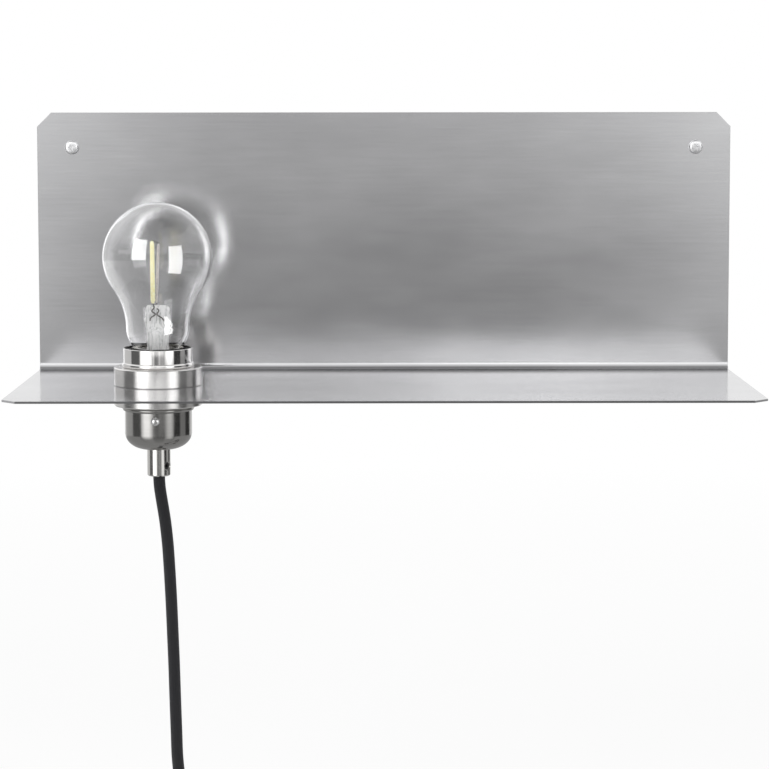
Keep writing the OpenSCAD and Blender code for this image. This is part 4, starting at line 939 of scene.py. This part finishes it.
def makeStem(s):
    tall = pressTop - stemLow
    outer = [(s["flare"], stemLow), (s["flare"], stemLow + 1), (s["tube"] + 1.4, stemLow + 0.16 * tall),
             (s["tube"] - 0.1, stemLow + 0.3 * tall), (s["tube"], stemLow + 0.5 * tall),
             (s["tube"], pressTop - s["pressHeight"] + 2)]
    smooth = smoothRoute([(r, 0, z) for r, z in outer], 8)
    rows = [(p.x, p.z) for p in smooth] + [(p.x - s["wall"], p.z - 0.01) for p in reversed(smooth)]

    def wave(k, a, z):
        rise = min(1.0, max(0.0, (z - stemLow - 1) / 6))
        lines = (math.sin(11 * a + 0.6) + 0.7 * math.sin(17 * a + 2 + 0.05 * z)
                 + 0.5 * math.sin(5 * a + 0.12 * z))
        flutes = rise * s["flute"] * lines * (1 if k < len(smooth) else 0.3)
        # the top of the tube is squeezed flat, as wide as the press
        squeeze = min(1.0, max(0.0, (z - pressTop + s["pressHeight"] + 5) / 7))
        squeeze = squeeze * squeeze * (3 - 2 * squeeze)
        wide, thick = s["pressWidth"] / 2 - 0.3, s["pressThick"] / 2 - 0.1
        n = s["squareness"]
        flat = ((abs(math.cos(a)) / wide) ** n + (abs(math.sin(a)) / thick) ** n) ** (-1 / n)
        return flutes * (1 - squeeze) + squeeze * (flat - s["tube"])

    pieces = [revolve("stemTube", rows, steps=144, sharpAngle=60, wave=wave)]
    low, top = stemLow + 2, pressTop - s["pressHeight"] - 1.5
    exhaust = [(s["exhaust"], low), (s["exhaust"], top), (s["exhaustBore"], top), (s["exhaustBore"], low)]
    pieces.append(revolve("stemExhaust", exhaust, steps=48))
    # pressed block, with soft shoulders and a crumpled skin
    layers = []
    for i in range(s["rows"] + 1):
        t = i / s["rows"]
        ease = 1 - s["shoulder"] * (2 * t - 1) ** 6
        w, d = s["pressWidth"] / 2 * ease * (1 - s["narrowing"] * t), s["pressThick"] / 2 * ease
        z = pressTop - s["pressHeight"] * (1 - t)
        ring = []
        for k in range(s["around"]):
            a = 2 * math.pi * k / s["around"]
            x, y = (size * math.copysign(abs(part) ** s["corner"], part)
                    for size, part in ((w, math.cos(a)), (d, math.sin(a))))
            bump = 1 + s["crumple"] * noise.noise(Vector((x * 0.45, y * 0.45, z * 0.5)))
            ring.append((lamp + Vector((x * bump, y * bump, z))) * mm)
        layers.append(ring)
    pieces.append(skin("stemPress", layers, 60))
    return joinPieces("glassStem", pieces)


# Feet and heads are places across from the lamp's axis
filament = {
    "length": 34, "rearShort": 1.5, "chips": 22, "chipRelief": 0.06, "steps": 160, "wire": 0.35,
    "frontRadius": 1.3, "frontFoot": (-2.35, -1.6), "frontHead": (-2.6, -1.6),
    "rearRadius": 0.85, "rearFoot": (-0.8, 2.4), "rearHead": (0.6, 2.4),
}
frontTop = filamentLow + filament["length"]
rearTop = frontTop - filament["rearShort"]


def makeFilament(name, f, which, top):
    a, b = lamp + Vector((*f[which + "Foot"], filamentLow)), lamp + Vector((*f[which + "Head"], top))
    radius = f[which + "Radius"]
    route, radii = [], []
    for i in range(f["steps"] + 1):
        t = i / f["steps"]
        route.append(a.lerp(b, t))
        bead = f["chipRelief"] * math.sin(t * f["chips"] * 2 * math.pi)
        end = min(1.0, 0.55 + 9 * min(t, 1 - t))
        radii.append((radius + bead - f["chipRelief"]) * end)
    return tube(name, route, radius, 24, radii)


# Two wires cross in front of the press, and a third links the filaments' heads
def makeLeads(f):
    routes = [
        [(-4.2, -1.2, pressTop - 10), (-3.5, -3.1, pressTop - 7), (-1.0, -3.15, pressTop - 4.9),
         (-2.9, -3.1, pressTop - 3.2), (-1.7, -2.7, pressTop - 1.4), (*f["frontFoot"], filamentLow - 0.05)],
        [(4.4, -1.2, pressTop - 10), (2.8, -3.2, pressTop - 7.2), (-0.1, -3.2, pressTop - 5.0),
         (0.9, -2.9, pressTop - 3.0), (-0.7, -1.4, pressTop - 1.0), (*f["rearFoot"], filamentLow - 0.05)],
        [(*f["frontHead"], frontTop + 0.1), (f["frontHead"][0] + 0.3, -1.3, frontTop + 0.35),
         (-1.0, 0.5, frontTop - 0.5), (*f["rearHead"], rearTop + 0.1)],
    ]
    pieces = []
    for route in routes:
        route = smoothRoute([lamp + Vector(p) for p in route], 10)
        pieces.append(tube("lead", evenRoute(route, 0.3), f["wire"], 12))
    return joinPieces("leadWires", pieces)


bulbPieces = [
    (makeBulbGlass(bulb), "bulbGlass", "bulb_glass", "clear_glass"),
    (makeBulbCap(bulb), "plating", "bulb_cap", "bulb_cap_metal"),
    (makeStem(stem), "stemGlass", "glass_stem", "clear_glass"),
    (makeFilament("filamentFront", filament, "front", frontTop),
     "phosphor", "filament_front", "filament_phosphor"),
    (makeFilament("filamentRear", filament, "rear", rearTop),
     "phosphorShaded", "filament_rear", "filament_phosphor"),
    (makeLeads(filament), "leadWire", "lead_wires", "bulb_cap_metal"),
]
for piece, finish, node, slot in bulbPieces:
    dress(piece, finish)
    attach(piece, "bulb")
    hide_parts(node)
print("bulb ready")


# Floor, world and lamps. Each lamp has a name, a place, a point it faces, a size and its watts
studio = {
    "floorCentre": (0, -0.08, -0.4042), "floorRadius": 4.0, "paper": ((0.92, 0.92, 0.92), (0.95, 0.95, 0.95)),
    "glowShare": (0.80, 1.0), "glowReach": (0.45, 1.5),
    "lamps": [("softLeft", (-1.3, -1.5, 1.1), (0, -0.05, -0.2), 1.0, 14.4),
              ("softRight", (1.2, -1.7, 0.9), (0, -0.05, -0.2), 1.0, 12.0),
              ("softTop", (0, 0.4, 1.8), (0, -0.05, -0.3), 1.2, 12.0)],
}


def makeFloor(s):
    bm = bmesh.new()
    bmesh.ops.create_circle(bm, cap_ends=True, segments=96, radius=s["floorRadius"])
    bmesh.ops.translate(bm, vec=s["floorCentre"], verts=bm.verts)
    mesh = bpy.data.meshes.new("paleFloor")
    bm.to_mesh(mesh)
    bm.free()
    floor = addPiece("paleFloor", mesh)
    made = bpy.data.materials.new("paleFloor")
    made.use_nodes = True
    made.node_tree.nodes.clear()
    tree = Tree(made.node_tree)
    rays = tree.add("LightPath").outputs
    seen = tree.most(rays["Is Camera Ray"], rays["Is Transmission Ray"])
    place = tree.place()
    away = tree.length(tree.vector("SUBTRACT", place, s["floorCentre"]))
    share = tree.remap(away, *s["glowShare"], *s["glowReach"])
    paper = tree.get("BsdfDiffuse", {0: tree.mix(tree.noise(place, scale=3.0), *s["paper"])})
    glow = tree.get("Emission", {0: (1, 1, 1, 1), 1: 1.0})
    mixed = tree.get("MixShader", {0: tree.times(seen, share), 1: paper, 2: glow})
    # nothing hides the lamp from below
    below = tree.get("NewGeometry", output="Backfacing")
    shown = tree.get("MixShader", {0: below, 1: mixed, 2: tree.get("BsdfTransparent")})
    tree.add("OutputMaterial", {0: shown})
    floor.data.materials.append(made)
    floor.visible_glossy = False  # the world's own pale floor is what shines in the metal


# What the metal and glass reflect, by direction in degrees: 0 is the room in front of the wall,
# negative is left or down. A grey room, two tall soft boxes, dark gaps, a ceiling that is dark
# overhead and a pale floor. "around" has levels round the horizon, "ahead" adds to the front by
# height. The other entries end in a level, after their edges: left and right, then low and high
room = {
    "around": [(-180, 1.0), (-145, 1.0), (-142, 0.68), (-95, 0.65), (-93, 0.13), (-60, 0.13), (-57, 0.4),
               (-16, 0.5), (-9, 0.82), (-8, 0.72), (-7.1, 0.42), (-6.6, 0.37), (-3.1, 0.215), (0, 0.24),
               (4.1, 0.31), (6.6, 0.36), (7.8, 0.54), (8.6, 0.76), (14, 0.45), (58, 0.42), (60, 0.05),
               (83.5, 0.05), (86, 0.36), (109, 0.34), (112, 0.05), (137, 0.05), (141, 1.0), (180, 1.0)],
    "ahead": [(-90, 0), (-3.2, 0), (-2.2, 0.03), (-1.2, 0.18), (0, 0.6), (2, 0.62), (4, 0.24), (6, 0.16),
              (7, 0.33), (9, 0.76), (13, 1.1), (20, 1.2), (50, 1.2)],
    "aheadSide": (-23, 25), "windowRight": (0.8, 5.8, 7.5, 20, 1.35),
    "ceiling": (10, 30, 1.25), "overhead": (32, 92, 0.1), "floor": (-12, -75, 0.45),
    "lowFront": (-15, 27, -7.4, 0.2), "lowSides": (-15, -11, 62, 0.45),
    "leftBox": (-57, -14.5, -10, 41), "leftGlow": (-46, -6, 0.8),
    "rightBox": (26.7, 58.6, -30, 30), "rightBoxFade": (-8.5, 0, 0.4, 0.9),
    "boxLevels": (1.3, 2.5), "boxHearts": [(-49, -23), (34, 53)], "fill": 0.55,
    "glassBoxes": [(-50, -18, -3, 38, 15.0), (30, 61, -30, 24, 14.0), (32, 56, -64, -45, 4.0)],
    "glassRim": (92, 130, 0.45, 1.2), "behindGlass": 0.12, "insideGlass": 2.0,
}


def makeWorld(s):
    world = bpy.data.worlds.new("studio")
    scene.world = world
    world.use_nodes = True
    world.cycles.sampling_method = "NONE"
    world.node_tree.nodes.clear()
    tree = Tree(world.node_tree)
    x, y, z = tree.apart(tree.get("TexCoord", output="Generated"))
    turn = tree.math("ARCTAN2", x, tree.times(y, -1.0))
    degrees, rise = (tree.times(angle, 180 / math.pi) for angle in (turn, tree.math("ARCSINE", z)))
    aside = tree.math("ABSOLUTE", degrees)

    def levels(value, low, high, points):
        ramp = tree.add("ValToRGB", {0: tree.remap(value, 0.0, 1.0, low, high)})
        elements = ramp.color_ramp.elements
        elements.remove(elements[-1])
        for i, (angle, level) in enumerate(points):
            at = (angle - low) / (high - low)
            element = elements[0] if i == 0 else elements.new(at)
            element.position = at
            element.color = (level, level, level, 1)
        return tree.get("RGBToBW", {0: ramp.outputs[0]})

    # from 0 at start to 1 at end, and the other way round
    def gains(value, start, end):
        return tree.remap(value, 0.0, 1.0, start, end)

    def fades(value, start, end):
        return tree.remap(value, 1.0, 0.0, start, end)

    def window(value, low, high, soft=1.2):
        return tree.times(gains(value, low - soft, low + soft), fades(value, high - soft, high + soft))

    around = levels(degrees, -180, 180, s["around"])
    ahead = tree.times(levels(rise, -90, 90, s["ahead"]), window(degrees, *s["aheadSide"], soft=3))
    left, right, low, high, level = s["windowRight"]
    bright = tree.times(window(degrees, left, right), level, window(rise, low, high, soft=2))
    around = tree.plus(tree.plus(around, ahead), bright)
    left, right, top, level = s["lowFront"]
    patch = tree.times(window(degrees, left, right), fades(rise, top - 1, top + 0.5))
    around = tree.blend(patch, around, level)
    low, high, level = s["floor"]
    around = tree.blend(gains(rise, low, high), around, level)
    low, high, side, level = s["lowSides"]
    around = tree.blend(tree.times(fades(rise, low, high), gains(aside, side - 2, side + 2)), around, level)
    for low, high, level in (s["ceiling"], s["overhead"]):
        around = tree.blend(gains(rise, low, high), around, level)
    left, right, low, high = s["leftBox"]
    across = window(degrees, left, right)
    leftBox = tree.times(across, window(rise, low, high))
    glowLow, glowHigh, level = s["leftGlow"]
    upward = tree.remap(rise, 0.0, level, glowLow, glowHigh)
    glow = tree.times(across, upward, fades(rise, high - 2, high + 2))
    left, right, low, high = s["rightBox"]
    rightBox = tree.times(window(degrees, left, right), window(rise, low, high, soft=2.5))
    low, high, least, most = s["rightBoxFade"]
    inMetal = tree.most(leftBox, glow, tree.times(rightBox, tree.remap(rise, least, most, low, high)))
    # each box is brighter in its middle
    heart = tree.most(*[window(degrees, *sides, soft=5) for sides in s["boxHearts"]])
    mirror = tree.most(around, tree.times(inMetal, tree.blend(heart, *s["boxLevels"])))
    # glass shows crisp boxes and a bright rim; what it reflects inside the bulb comes back out dimmer
    low, high, least, most = s["glassRim"]
    inGlass = tree.most(around, tree.remap(aside, least, most, low, high))
    for left, right, low, high, level in s["glassBoxes"]:
        lit = tree.times(window(degrees, left, right, soft=0.8), window(rise, low, high, soft=1.0))
        inGlass = tree.most(inGlass, tree.times(lit, level))
    rays = tree.add("LightPath").outputs
    through, glossy = rays["Is Transmission Ray"], rays["Is Glossy Ray"]
    inGlass = tree.times(inGlass, tree.blend(through, 1.0, s["behindGlass"]))
    mirror = tree.blend(tree.times(rays["Is Singular Ray"], glossy), mirror, inGlass)
    bounced = tree.math("GREATER_THAN", rays["Glossy Depth"], 0.5)
    scattered = tree.math("GREATER_THAN", rays["Diffuse Depth"], 0.5)
    beyond = tree.blend(scattered, tree.blend(bounced, 1.0, inGlass), s["insideGlass"])
    level = tree.blend(through, tree.blend(glossy, s["fill"], mirror), beyond)
    level = tree.blend(rays["Is Camera Ray"], level, 1.0)
    shade = tree.get("CombineColor", {0: level, 1: level, 2: level})
    tree.add("OutputWorld", {0: tree.get("Background", {0: shade, 1: 1.0})})


def makeLamp(name, place, aim, size, watts):
    data = bpy.data.lights.new(name, "AREA")
    data.shape, data.size, data.energy = "SQUARE", size, watts
    made = bpy.data.objects.new(name, data)
    made.location = place
    made.rotation_euler = (Vector(aim) - Vector(place)).to_track_quat("-Z", "Y").to_euler()
    made.visible_glossy = made.visible_camera = made.visible_transmission = False
    scene.collection.objects.link(made)


makeFloor(studio)
makeWorld(room)
for lampSetup in studio["lamps"]:
    makeLamp(*lampSetup)
scene.view_settings.view_transform = "Standard"
print("studio ready")
